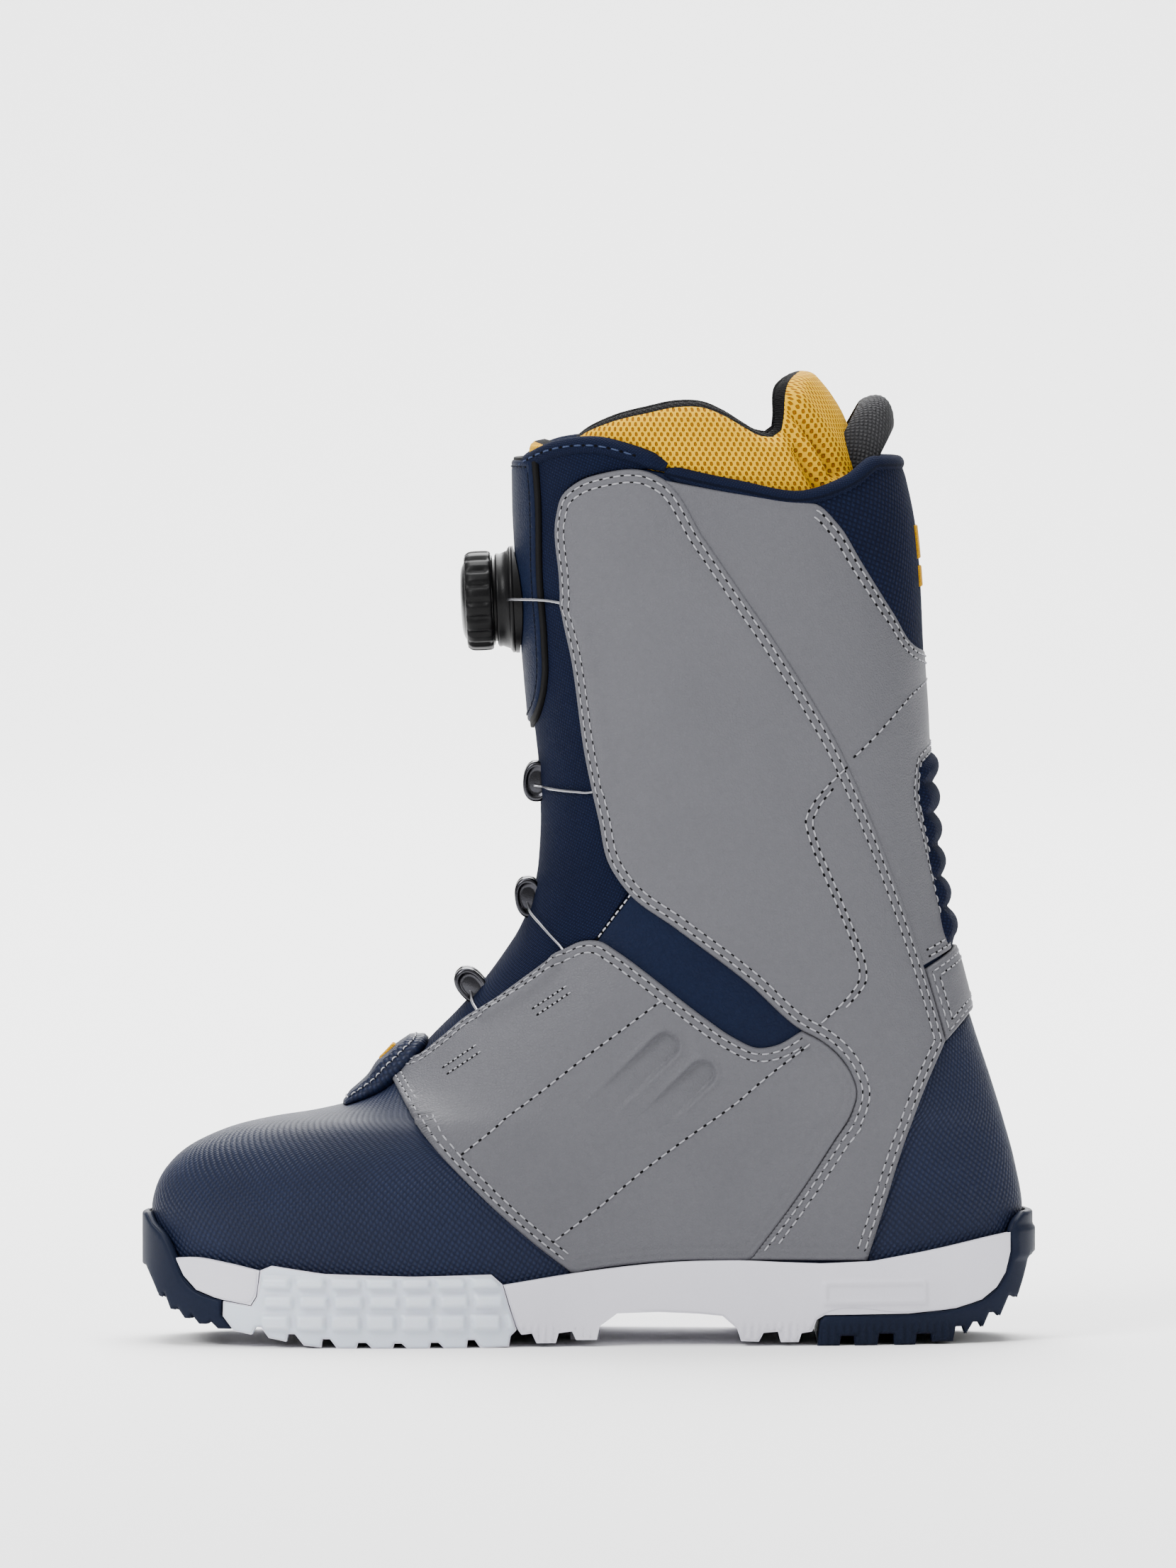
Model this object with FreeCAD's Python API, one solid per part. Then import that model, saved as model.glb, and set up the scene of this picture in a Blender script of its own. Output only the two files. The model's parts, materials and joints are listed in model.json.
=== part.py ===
"""Dial-lace snowboard boot, right foot. Millimetres, +Z up, toe towards -X, inner (medial) side towards -Y.

The origin is on the ground under the middle of the boot. The upper is a stack of layers built from one
base skin: the liner inside it, a cloth and leather wall just under it, and grey panels on top of it.
Each layer is a loft of level sections, and each panel is the part of its layer inside a side-view outline.
"""

import FreeCAD
import Part

import math
import os

Vector = FreeCAD.Vector

# ---- driving dimensions ---------------------------------------------------------------------------
UPPER_BOTTOM = 20.0  # underside of the upper, inside the midsole cup
LOFT_TOP = 318.0  # the lofts run past the collar and are trimmed to it
SKIN_WALL = 3.0  # cloth, foam and leather wall under the base skin
LINER_GAP = 0.4
LINER_THICKNESS = 9.0
PANEL_GAP = 0.15  # between the base skin and a grey panel
PANEL_OUTER = 1.8  # a grey panel's outer face above the base skin
PATCH_OUTER = 2.4  # the dial's leather patch above the base skin
SOLE_OVERHANG = 3.0  # how far the sole stands out past the base skin
TONGUE_GAP = 0.5  # between the tongue and its neighbours
BALL_HALF_WIDTH = 56.0
WAIST_HALF_WIDTH = 46.0
HEEL_HALF_WIDTH = 43.5
ANKLE_HALF_WIDTH = 45.5
CUFF_HALF_WIDTH = 52.0
FRONT_FULLNESS = 2.5  # superellipse power of a level section's front end
BACK_FULLNESS = 2.7
SIDE = 200.0  # half-width of a side-view prism: past the boot on both sides
SECTION_POINTS = 32

LASTING_BOARD = 2.6
SHANK_LENGTH, SHANK_WIDTH, SHANK_THICKNESS = 120.0, 24.0, 1.2
LINER_SOLE = 4.0
FOOTBED = 4.0

DIAL_SEAT = Vector(-24.3, 0, 254.5)  # where the dial's axis meets the tongue patch
DIAL_TILT = 2.6  # degrees that the dial's axis points below level
KNOB_RADIUS = 17.0
LACE_RADIUS = 0.5
LACE_TUBE_RADIUS, LACE_TUBE_BORE = 0.9, 0.65
LACE_LIFT = 2.9  # the lace's centre line above the base skin: over the grey panels

# Side profile of the base skin: (height, x) of the front and back outlines.
FRONT_PROFILE = [
    (16, -143.0), (30, -148.8), (40, -150.0), (46, -150.0), (52, -148.8), (57, -146.6),
    (62, -142.7), (66, -138.0), (70, -130.5), (73.5, -121.0), (76, -109.5), (78, -96.0),
    (81, -83.0), (86, -72.0), (92, -65.0), (98, -59.5), (105, -53.0), (113, -45.0),
    (122, -37.0), (132, -29.5), (142, -23.2), (152, -19.3), (165, -17.0), (180, -16.3),
    (195, -16.8), (215, -18.8), (240, -21.0), (265, -22.8), (290, -24.0), (325, -24.3),
]
BACK_PROFILE = [
    (16, 144.0), (30, 148.2), (45, 149.6), (60, 147.2), (75, 143.2), (90, 138.6),
    (105, 133.6), (120, 129.0), (135, 125.2), (150, 121.8), (165, 119.2), (180, 117.6),
    (200, 116.6), (220, 115.7), (240, 114.3), (260, 113.4), (280, 111.6), (300, 107.5),
    (325, 102.0),
]
LINER_TOP_BACK = [(275, 104.0), (290, 97.0), (300, 93.5), (312, 90.5), (325, 87.0), (342, 79.0)]

# Side-view outlines: (x, z).
MIDSOLE_TOP = [
    (-160, 31), (-141, 30), (-136, 30.5), (-112, 26.5), (-90, 25.6), (-60, 24.7), (-33, 25.2),
    (-29, 21.8), (0, 26), (28, 29), (50, 29.6), (80, 28.4), (97, 29.0), (120, 33), (140, 37), (160, 40),
]
TONGUE_FRONT_EDGE = [
    (-62.5, 95), (-57, 97.5), (-50, 103), (-40, 111.5), (-33, 116), (-20, 126), (-7, 135.5),
    (-2, 137.8), (3, 138.3), (14, 155), (7.5, 165), (4.2, 180), (2, 190), (0, 200), (-5, 235),
    (-8.5, 253), (-9, 262), (-10, 284), (-8, 291), (-3, 295.5), (5, 298), (20, 299.5), (27, 300.5),
]
LOWER_QUARTER = [
    (-67.5, 91), (-36, 54), (-5.5, 25.5), (0, 26.2), (28, 29.2), (55, 29.6), (71, 50), (84, 70),
    (90, 80), (91.6, 87), (90, 93), (86, 99), (79, 104.6), (73, 107.5), (64, 102.6), (57, 101.8),
    (50, 105), (40, 112), (20, 127.4), (10, 134.6), (4, 138), (-2, 137.8), (-7, 135.5), (-20, 126),
    (-33, 116), (-40, 111.5), (-50, 103), (-57, 97.5), (-64, 95),
]
UPPER_QUARTER = [
    (55.4, 29.6), (71.2, 50), (84.2, 70), (90.2, 80), (91.9, 87), (90.2, 93), (86.2, 99),
    (79.2, 104.8), (73.2, 108.5), (55, 124), (30, 143), (14, 155), (7.5, 165), (4.2, 180), (2, 190),
    (0, 200), (-5, 235), (-8.5, 253), (-9, 262), (-10, 284), (-8, 291), (-3, 295.5), (5, 298),
    (20, 299.5), (26, 296.8), (40, 276), (52, 258.5), (64, 241), (75, 223.5), (85, 206), (92, 190.5),
    (100, 170.5), (108, 148), (114.4, 128.3), (119, 113), (121.4, 103.5), (115, 89), (107, 67),
    (101, 47), (95, 29.2), (80, 28.6),
]
REAR_CUFF = [
    (26.4, 296.8), (40.4, 276), (52.4, 258.5), (64.4, 241), (75.4, 223.5), (85.4, 206),
    (92.4, 190.5), (100.4, 170.5), (108.4, 148), (114.8, 129), (123.8, 134.4), (119, 155),
    (115, 175), (112.6, 190), (113, 197.6), (118.4, 203), (140, 203), (140, 236), (117, 235.6),
    (111, 239), (104, 250), (93, 268), (85, 281), (77.5, 287.8), (74, 288), (50, 291),
]
HEEL_STRAP = [(115, 128.2), (128.4, 137), (150, 137), (150, 111), (132, 115), (121.8, 103.8), (119.4, 113)]
HEEL_COUNTER = [
    (160, 100), (133, 114.6), (121.8, 103.4), (115.4, 89), (107.4, 67), (101.4, 47), (94, 10), (160, 10),
]
ACCORDION = [
    (150, 137.4), (128.4, 137.4), (124.2, 134.8), (119.4, 155), (115.4, 175), (113, 190),
    (113.4, 197.2), (118.6, 202.6), (150, 202.6),
]
COLLAR_MESH = [
    (140, 236.4), (117.2, 236), (111.3, 239.4), (104.3, 250.4), (93.3, 268.4), (85.3, 281.4),
    (77.8, 288.2), (95, 299), (107, 312), (140, 312),
]
TOE_VAMP = [
    (-170, 10), (11, 10), (-5.8, 25.5), (-36, 53.6), (-67.8, 90.6), (-72.5, 88.5), (-90, 98), (-170, 98),
]
COLLAR_LINE = [(27, 300.5), (50, 295), (75, 291.5), (90, 297), (100, 304), (112, 304)]
TONGUE_TOP = [(-40, 290), (-25, 299), (-19, 306.5), (-8, 310), (2, 311), (14, 308.5), (27, 300.5)]
LINER_TOP = [
    (-40, 306), (-15, 308), (8, 317), (26, 321.5), (38, 323), (48, 319), (58, 313.5), (62.5, 312.6),
    (62.6, 341), (120, 341),
]
LINER_TONGUE = [
    (-60, 129), (-22, 131.5), (-11, 139.5), (-3, 143), (8.5, 156), (3.5, 165), (0.5, 180), (-2, 190),
    (-4, 200), (-9, 235), (-12, 253), (-13, 262), (-13, 345), (-60, 345),
]
DIAL_PATCH = [
    (-40, 303.5), (-16.5, 303.5), (-16, 262), (-14, 238), (-14.5, 222), (-19.4, 208.5), (-40, 208.5),
]
TOE_BUMPER = [
    (-151.6, 44.5), (-149.6, 41.3), (-146, 38), (-141.3, 29.4), (-139, 23.8), (-134.4, 18.9),
    (-128.2, 16.6), (-125.4, 15.9), (-125.6, 11), (-122, 6.2), (-126.5, 6.2), (-129, 8.6), (-130.5, 7.6), (-133, 7.6),
    (-135.6, 10.8), (-136, 9.3), (-138, 9.3), (-140.6, 13), (-141, 12), (-143, 12.2), (-145, 17.4),
    (-145.6, 16), (-147, 16.4), (-149, 21), (-151.4, 26), (-152.7, 35), (-152.5, 42),
]
HEEL_BUMPER = [
    (78.6, 0), (86, 0), (86.6, 3.4), (91, 3.4), (91.4, 0), (99, 0), (99.6, 4), (104.6, 4), (105, 0),
    (112, 0), (112.6, 3.8), (117.6, 3.8), (118, 1), (125, 1), (126, 6), (128.6, 6), (129.6, 3.4),
    (132, 7.4), (134.2, 7.4), (135.4, 5.4), (137.6, 10.4), (140, 10.4), (141.4, 9), (144.4, 15.8),
    (146, 15.8), (147.4, 15), (149.6, 22), (151.2, 28.5), (152.6, 35), (152.6, 39), (151.6, 44.2),
    (149.6, 44.4), (146.4, 41), (145.2, 38), (145.3, 31), (143.6, 24), (140.4, 18.6), (135, 14.6),
    (126, 11.9), (110, 10.4), (81, 10.2), (79.4, 8.6),
]
FOREFOOT_WRAP = [
    (-124.8, 10.6), (-121, 5.6), (-115, 4.4), (-113.6, 7), (-111.6, 7), (-109, 3.4), (-103, 2.2),
    (-102.4, 4.8), (-100, 4.8), (-97, 1), (-91, 0.3), (-90.6, 3.2), (-88, 3.2), (-85.6, 0), (-79, 0),
    (-78.4, 2), (-75.6, 2), (-73.6, 0), (-66.6, 0), (-66, 1.8), (-63.6, 1.8), (-61.6, 0), (-54, 0),
    (-53.6, 2), (-51, 2), (-49, 0), (-41.4, 0), (-41, 2.8), (-38.6, 2.8), (-36.6, 0), (-27, 0.4),
    (-26.4, 4), (-24.4, 6), (-27, 14), (-29.2, 21.6), (-33, 25), (-60, 24.5), (-90, 25.4), (-108, 28),
    (-111.8, 26.4), (-113, 17.4), (-115, 14.2), (-124.6, 15.7),
]
MIDSOLE = [
    (-141, 29.8), (-136, 30.3), (-112.2, 26.3), (-113.4, 17.4), (-115.2, 14.5), (-125, 16.2),
    (-128, 17), (-134, 19.3), (-138.4, 24), (-140.8, 29),
], [
    (-28.8, 21.4), (0, 25.8), (28, 28.8), (50, 29.4), (80, 28.2), (97, 28.8), (120, 32.8), (140, 36.8),
    (145, 37.6), (145, 31), (143.3, 24), (140.2, 19), (135, 15), (126, 12.3), (110, 10.8), (81, 10.6),
    (78.2, 9), (76.6, 5), (73, 4.4), (72, 1.4), (66, 1.4), (65, 5), (60, 4.6), (58.4, 1.6), (52.4, 1.8),
    (51, 6), (46, 10.4), (38, 11.2), (24, 11.8), (10, 11.4), (4, 7), (3, 2.4), (-4, 2.4), (-5.4, 5.4),
    (-10, 4.8), (-11, 1.4), (-17.4, 1.4), (-19, 4.8), (-22.6, 4.4), (-24, 6.4), (-26.6, 14),
]


# ---- small curve tools ----------------------------------------------------------------------------
def smooth_curve(points):
    """A monotone cubic through (input, value) points, as a function that holds its end values."""
    xs, ys = [p[0] for p in points], [p[1] for p in points]
    slopes = [(ys[i + 1] - ys[i]) / (xs[i + 1] - xs[i]) for i in range(len(xs) - 1)]
    tangents = [slopes[0]]
    for before, after in zip(slopes, slopes[1:]):
        tangents.append(0.0 if before * after <= 0 else 2 * before * after / (before + after))
    tangents.append(slopes[-1])

    def value(x):
        x = min(max(x, xs[0]), xs[-1])
        i = max(k for k in range(len(xs) - 1) if xs[k] <= x)
        h = xs[i + 1] - xs[i]
        t = (x - xs[i]) / h
        a, b = tangents[i] * h, tangents[i + 1] * h
        rise = ys[i + 1] - ys[i]
        return ys[i] + t * (a + t * ((3 * rise - 2 * a - b) + t * (a + b - 2 * rise)))

    return value


def smooth_step(low, high, value):
    t = min(max((value - low) / (high - low), 0.0), 1.0)
    return t * t * (3 - 2 * t)


def offset_profile(profile, outward):
    """A (z, x) profile moved along its own normal; outward is positive away from the boot at x < 0."""
    moved = []
    for i, (z, x) in enumerate(profile):
        z0, x0 = profile[max(i - 1, 0)]
        z1, x1 = profile[min(i + 1, len(profile) - 1)]
        length = math.hypot(z1 - z0, x1 - x0)
        normal_z, normal_x = (x1 - x0) / length, -(z1 - z0) / length
        moved.append((z + outward * normal_z, x + outward * normal_x))
    kept = [moved[0]]
    for point in moved[1:]:
        if point[0] > kept[-1][0] + 0.5:
            kept.append(point)
    return kept


# ---- the base skin --------------------------------------------------------------------------------
foot_half_width = smooth_curve([
    (-153, BALL_HALF_WIDTH - 2), (-75, BALL_HALF_WIDTH), (15, WAIST_HALF_WIDTH),
    (100, HEEL_HALF_WIDTH), (153, HEEL_HALF_WIDTH),
])
shaft_half_width = smooth_curve([
    (60, ANKLE_HALF_WIDTH), (135, ANKLE_HALF_WIDTH), (220, CUFF_HALF_WIDTH - 2), (325, CUFF_HALF_WIDTH),
])
foot_centre_line = smooth_curve([(-153, -9.0), (-110, -5.0), (-65, 0.5), (0, 4.0), (60, 2.0), (153, 0.0)])


def half_width(x, z, front, back, offset):
    """Half-width of a level section at x: a superellipse end to end, over a slowly changing width."""
    centre, half_length = (front + back) / 2, (back - front) / 2
    t = max(-1.0, min(1.0, (x - centre) / half_length))
    power = FRONT_FULLNESS if t < 0 else BACK_FULLNESS
    to_shaft = smooth_step(50, 120, z)
    width = foot_half_width(x) * (1 - to_shaft) + shaft_half_width(z) * to_shaft + offset
    return width * max(0.0, 1 - abs(t) ** power) ** (1 / power)


def centre_line(x, z):
    return foot_centre_line(x) * (1 - smooth_step(60, 120, z))


class Skin:
    """The base skin moved outward by an offset, as level sections."""

    def __init__(self, offset, front_profile=FRONT_PROFILE, back_profile=BACK_PROFILE):
        self.offset = offset
        self.front = smooth_curve(offset_profile(front_profile, offset))
        mirrored = [(z, -x) for z, x in back_profile]
        self.back = smooth_curve([(z, -x) for z, x in offset_profile(mirrored, offset)])

    def point(self, angle, z):
        """angle 0 is the toe end, pi the heel end; positive angles are on the -Y side."""
        front, back = self.front(z), self.back(z)
        along = math.cos(angle)
        power = FRONT_FULLNESS if along > 0 else BACK_FULLNESS
        reach = math.copysign(abs(along) ** (2 / power), -along)
        x = (front + back) / 2 + reach * (back - front) / 2
        y = math.copysign(half_width(x, z, front, back, self.offset), -math.sin(angle))
        return Vector(x, centre_line(x, z) + y, z)

    def side(self, x, z, sign):
        """The point of the skin at (x, z) on the -Y side (sign -1) or the +Y side (sign 1)."""
        width = half_width(x, z, self.front(z), self.back(z), self.offset)
        return Vector(x, centre_line(x, z) + sign * width, z)

    def section(self, z):
        points = []
        for i in range(SECTION_POINTS):
            points.append(self.point(math.pi + 2 * math.pi * (i + 0.5) / SECTION_POINTS, z))
        curve = Part.BSplineCurve()
        curve.interpolate(Points=points, PeriodicFlag=True)
        return Part.Wire(curve.toShape())

    def loft(self, heights):
        return Part.makeLoft([self.section(z) for z in heights], True, True)


def heights_between(low, high):
    """Section heights: close together over the toe box and the instep, wider apart up the shaft."""
    steps = [26, 33, 40, 46, 52, 57, 61, 64.5, 67.5, 70, 72.2, 74.3, 76.3, 78.3, 81, 84.5, 89, 94.5, 101,
             108, 116, 125, 134, 144, 155, 167, 180, 196, 215, 237, 260, 282, 300, 312, 325]
    return [low] + [z for z in steps if low + 2 < z < high - 2] + [high]


# ---- solid tools ----------------------------------------------------------------------------------
def prism(outline, y_low=-SIDE, y_high=SIDE):
    """A side-view (x, z) outline pushed through the boot."""
    points = [Vector(x, y_low, z) for x, z in outline]
    face = Part.Face(Part.makePolygon(points + [points[0]]))
    return face.extrude(Vector(0, y_high - y_low, 0))


def under(line, bottom=-10.0):
    """The prism under a left-to-right side-view line."""
    return prism([(line[0][0], bottom)] + line + [(line[-1][0], bottom)])


def solids_of(shape, least=5.0):
    """The shape's own solids, without slivers, as one shape."""
    kept = [s for s in shape.Solids if s.Volume > least]
    return kept[0] if len(kept) == 1 else Part.makeCompound(kept)


def box(low, high):
    size = [b - a for a, b in zip(low, high)]
    return Part.makeBox(size[0], size[1], size[2], Vector(*low))


def cylinder(radius, start, end):
    axis = end - start
    return Part.makeCylinder(radius, axis.Length, start, axis)


def join(shapes):
    whole = shapes[0]
    for shape in shapes[1:]:
        whole = whole.fuse(shape)
    return whole.removeSplitter()


def rounded_route(points):
    """Straight runs joined by tangent arcs, each as large as its two runs allow, as a list of edges."""
    edges, start = [], points[0]
    for before, corner, after in zip(points, points[1:], points[2:]):
        run_in, run_out = corner - before, after - corner
        turn = run_in.getAngle(run_out)
        reach = 0.45 * min(run_in.Length, run_out.Length)
        arc_in = corner - run_in.normalize() * reach
        arc_out = corner + run_out.normalize() * reach
        inward = (arc_in + arc_out) / 2 - corner
        radius = reach / math.tan(turn / 2)
        middle = corner + inward.normalize() * (math.hypot(reach, radius) - radius)
        edges.append(Part.LineSegment(start, arc_in).toShape())
        edges.append(Part.Arc(arc_in, middle, arc_out).toShape())
        start = arc_out
    edges.append(Part.LineSegment(start, points[-1]).toShape())
    return edges


def sweep(edges, radius):
    start, way = edges[0].Vertexes[0].Point, edges[0].tangentAt(edges[0].FirstParameter)
    profile = Part.Wire(Part.makeCircle(radius, start, way))
    return Part.Wire(edges).makePipeShell([profile], True, False)


NODES = {}


def keep(name, shape):
    NODES[name] = shape
    return shape


# ---- upper ----------------------------------------------------------------------------------------
base_skin, wall_inside = Skin(0.0), Skin(-SKIN_WALL)
panel_inside, panel_outside = Skin(PANEL_GAP), Skin(PANEL_OUTER)


def make_wall():
    outer = base_skin.loft(heights_between(UPPER_BOTTOM, LOFT_TOP))
    inner = wall_inside.loft(heights_between(UPPER_BOTTOM - 2, LOFT_TOP + 4))
    return outer.cut(inner)


def make_upper(wall):
    """The cloth and leather wall, cut into the pieces that it is sewn from."""
    behind_tongue = [(x + TONGUE_GAP, z - TONGUE_GAP) for x, z in TONGUE_FRONT_EDGE]
    tongue_side = prism([(-90, 97)] + behind_tongue + [(27.5, 330), (-90, 330)])
    vamp = prism(TOE_VAMP)
    keep("toe_vamp", solids_of(wall.common(vamp)))
    heel = prism(HEEL_COUNTER)
    keep("heel_counter", solids_of(wall.common(heel)))
    accordion = prism(ACCORDION)
    keep("flex_accordion", solids_of(wall.common(accordion)))
    mesh = prism(COLLAR_MESH)
    below_collar = under([(x, z - 3.2) for x, z in [(-90, 300.5)] + COLLAR_LINE + [(130, 304)]])
    keep("collar_mesh", solids_of(wall.common(mesh).common(below_collar)))
    rest = wall.cut(Part.makeCompound([vamp, heel, accordion, mesh, tongue_side]))
    clear_of_vamp = prism([(-75, 88.8), (-66.5, 91.4), (-50, 104), (-62, 110), (-80, 110)])
    rest = rest.cut(clear_of_vamp).common(below_collar)
    keep("quarter_lining_medial", solids_of(rest.common(box((-170, -90, 0), (170, -0.01, 320))), 200))
    keep("quarter_lining_lateral", solids_of(rest.common(box((-170, 0.01, 0), (170, 90, 320))), 200))


def make_tongue(wall):
    ahead = [(x - TONGUE_GAP, z + TONGUE_GAP) for x, z in TONGUE_FRONT_EDGE]
    region = prism([(-90, 95.5)] + ahead + [(27, 330), (-90, 330)])
    rim_line = [(x, z - 5.0) for x, z in TONGUE_TOP]
    tongue = wall.common(region)
    keep("tongue", solids_of(tongue.common(under(rim_line, 60)), 200))
    rim_wall = Skin(1.5).loft(heights_between(285, 315)).cut(wall_inside.loft(heights_between(283, 317)))
    band = under(TONGUE_TOP, 260).cut(under([(x, z + 0.1) for x, z in rim_line], 250))
    keep("tongue_rim", solids_of(rim_wall.common(band).common(region), 50))
    patch_inside = panel_inside.loft(heights_between(198, 308))
    patch_layer = Skin(PATCH_OUTER).loft(heights_between(200, 306)).cut(patch_inside)
    patch = patch_layer.common(prism(DIAL_PATCH)).common(under([(x, z - 5.2) for x, z in TONGUE_TOP], 60))
    keep("dial_patch", solids_of(patch, 50))


def make_collar_rim():
    layer = Skin(1.6).loft(heights_between(270, 312)).cut(wall_inside.loft(heights_between(268, 314)))
    top = [(27.8, 300.4)] + COLLAR_LINE[1:] + [(130, 304)]
    lower = [(x, z - 3.0) for x, z in top]
    band = prism(top + lower[::-1])
    keep("collar_rim", solids_of(layer.common(band), 50))


def make_panels():
    layer = panel_outside.loft(heights_between(UPPER_BOTTOM, LOFT_TOP)).cut(
        panel_inside.loft(heights_between(UPPER_BOTTOM - 2, LOFT_TOP + 4))
    )
    below_collar = under([(x, z - 3.4) for x, z in [(-90, 303)] + COLLAR_LINE + [(130, 304)]])
    above_sole = under(MIDSOLE_TOP + [(160, 40), (200, 40)], -10)
    halves = {
        "medial": box((-170, -90, 0), (170, -6, 320)),
        "lateral": box((-170, 6, 0), (170, 90, 320)),
    }
    for side, half in halves.items():
        for name, outline in (("lower_quarter", LOWER_QUARTER), ("upper_quarter", UPPER_QUARTER)):
            panel = layer.common(prism(outline)).common(half).cut(above_sole)
            keep(f"{name}_{side}", solids_of(panel.common(below_collar), 200))
    keep("rear_cuff_panel", solids_of(layer.common(prism(REAR_CUFF)).common(below_collar), 200))
    keep("heel_strap", solids_of(layer.common(prism(HEEL_STRAP)), 50))


def make_heel_mark():
    """Two plain sewn bars on the back of the collar."""
    bars = []
    for low, high in ((259.0, 266.2), (268.6, 280.0)):
        layer = Skin(0.9).loft(heights_between(240, 300)).cut(panel_inside.loft(heights_between(237, 303)))
        bars.append(layer.common(box((90, -14, low), (130, 14, high))))
    keep("heel_mark", Part.makeCompound([s for b in bars for s in b.Solids]))


def make_tab():
    """Leather flap sewn to the back edge of the vamp, standing in front of the tongue's foot."""
    outline = [
        (-83.4, 81.6), (-80.4, 84.6), (-75.2, 91.2), (-70, 97.5), (-66.4, 103), (-63.4, 104.4),
        (-60.2, 103.4), (-60.6, 100.6), (-64.2, 100.2), (-67.2, 95.4), (-72.4, 89.2), (-77.6, 84.6),
    ]
    plate = prism(outline, -15, 15)
    keep("vamp_tab", solids_of(plate.cut(Skin(0.3).loft(heights_between(70, 108)))))


# ---- sole -----------------------------------------------------------------------------------------
def make_sole():
    sole_front = [(-4, -151.0), (20, -152.7), (46, -152.7)]
    sole_back = [(-4, 151.0), (20, 152.6), (46, 152.6)]
    block = Skin(SOLE_OVERHANG, sole_front, sole_back)
    block.front, block.back = smooth_curve(sole_front), smooth_curve(sole_back)
    solid = block.loft([-2, 10, 22, 34, 46])
    upper = panel_outside.loft(heights_between(UPPER_BOTTOM, 60))
    hollow = solid.cut(upper)
    toe = solids_of(hollow.common(prism(TOE_BUMPER)))
    heel = solids_of(hollow.common(prism(HEEL_BUMPER)))
    core_block = Skin(-1.5, sole_front, sole_back)
    core_block.front, core_block.back = smooth_curve(sole_front), smooth_curve(sole_back)
    core = core_block.loft([6, 12, 20]).common(box((-112, -90, 9), (-31, 90, UPPER_BOTTOM)))
    wrap = solids_of(hollow.common(prism(FOREFOOT_WRAP)).cut(core), 50)
    toe_part, rear_part = (hollow.common(prism(outline)) for outline in MIDSOLE)
    rear_bridge = box((-33, -34, 12), (-24, 34, UPPER_BOTTOM))
    toe_bridge = box((-118, -30, 17), (-108, 30, UPPER_BOTTOM))
    midsole = join([rear_part, core, toe_part, rear_bridge, toe_bridge])
    wrap = wrap.cut(Part.makeCompound([rear_bridge, toe_bridge]))
    shank = box((-20, -SHANK_WIDTH / 2, UPPER_BOTTOM - SHANK_THICKNESS - 0.2),
                (-20 + SHANK_LENGTH, SHANK_WIDTH / 2, UPPER_BOTTOM - 0.2))
    channels = [box((-130, y - 2.2, -5), (150, y + 2.2, 3.4)) for y in (-18, 18)]
    middle_lug = box((-6, -12, 0), (4, 12, 14))
    keep("midsole", solids_of(join([midsole, middle_lug]).cut(shank), 50))
    keep("shank", shank)
    keep("toe_bumper", toe)
    keep("heel_outsole", solids_of(heel.cut(Part.makeCompound(channels)), 20))
    keep("forefoot_outsole", solids_of(wrap.cut(Part.makeCompound(channels)), 20))


def make_floor_layers():
    inside = Skin(-SKIN_WALL - 0.2).loft(heights_between(UPPER_BOTTOM - 2, 60))
    inside = inside.common(box((-170, -90, UPPER_BOTTOM + 0.1), (170, 90, UPPER_BOTTOM + LASTING_BOARD)))
    keep("lasting_board", solids_of(inside))
    foot = Skin(-SKIN_WALL - LINER_GAP - LINER_THICKNESS - 0.3).loft(heights_between(UPPER_BOTTOM, 60))
    low = UPPER_BOTTOM + LASTING_BOARD + LINER_GAP + LINER_SOLE + 0.2
    keep("footbed", solids_of(foot.common(box((-170, -90, low), (170, 90, low + FOOTBED)))))


# ---- liner ----------------------------------------------------------------------------------------
def liner_skin(offset):
    """The liner's skin: the boot's own up to the collar, and leaning in from there at the back."""
    back = [p for p in BACK_PROFILE if p[0] < 262]
    back += [(z, x + SKIN_WALL + LINER_GAP) for z, x in LINER_TOP_BACK]
    front = FRONT_PROFILE[:-1] + [(345, -18.0)]
    return Skin(offset, front, back)


def make_liner():
    thick = SKIN_WALL + LINER_GAP
    floor = UPPER_BOTTOM + LASTING_BOARD + LINER_GAP
    outer = liner_skin(-thick).loft(heights_between(floor, 340))
    outer = outer.common(Skin(-thick).loft(heights_between(floor - 2, 343)))
    inner = liner_skin(-thick - LINER_THICKNESS).loft(heights_between(floor + LINER_SOLE, 343))
    liner = outer.cut(inner).common(under(LINER_TOP, 0))
    foot = solids_of(liner.common(box((-170, -90, 0), (170, 90, 112))), 200)
    shaft = liner.common(box((-60, -90, 112.2), (170, 90, 345)))
    tongue_cut = prism(LINER_TONGUE)
    cuff_cut = prism([(x + 0.8, z - 0.8) for x, z in LINER_TONGUE[:-2]] + [(-12.2, 345), (-60, 345)])
    keep("liner_foot", foot)
    keep("liner_tongue", solids_of(shaft.common(tongue_cut), 200))
    half = [
        (0, 336.5), (20, 336), (31, 335), (38, 332), (41.5, 327), (43, 320), (44, 311), (60, 311), (60, 300),
    ]
    rear_view = [(y, z) for y, z in half] + [(-y, z) for y, z in reversed(half[1:])]
    tab_face = Part.Face(Part.makePolygon([Vector(50, y, z) for y, z in rear_view + rear_view[:1]]))
    back_tab = tab_face.extrude(Vector(80, 0, 0)).common(box((62.5, -90, 300), (130, 90, 345)))
    cuff = shaft.cut(cuff_cut)
    keep("liner_heel_tab", solids_of(cuff.common(back_tab), 200))
    keep("liner_cuff", solids_of(cuff.cut(box((62.5, -90, 300), (130, 90, 345))), 200))


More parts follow.
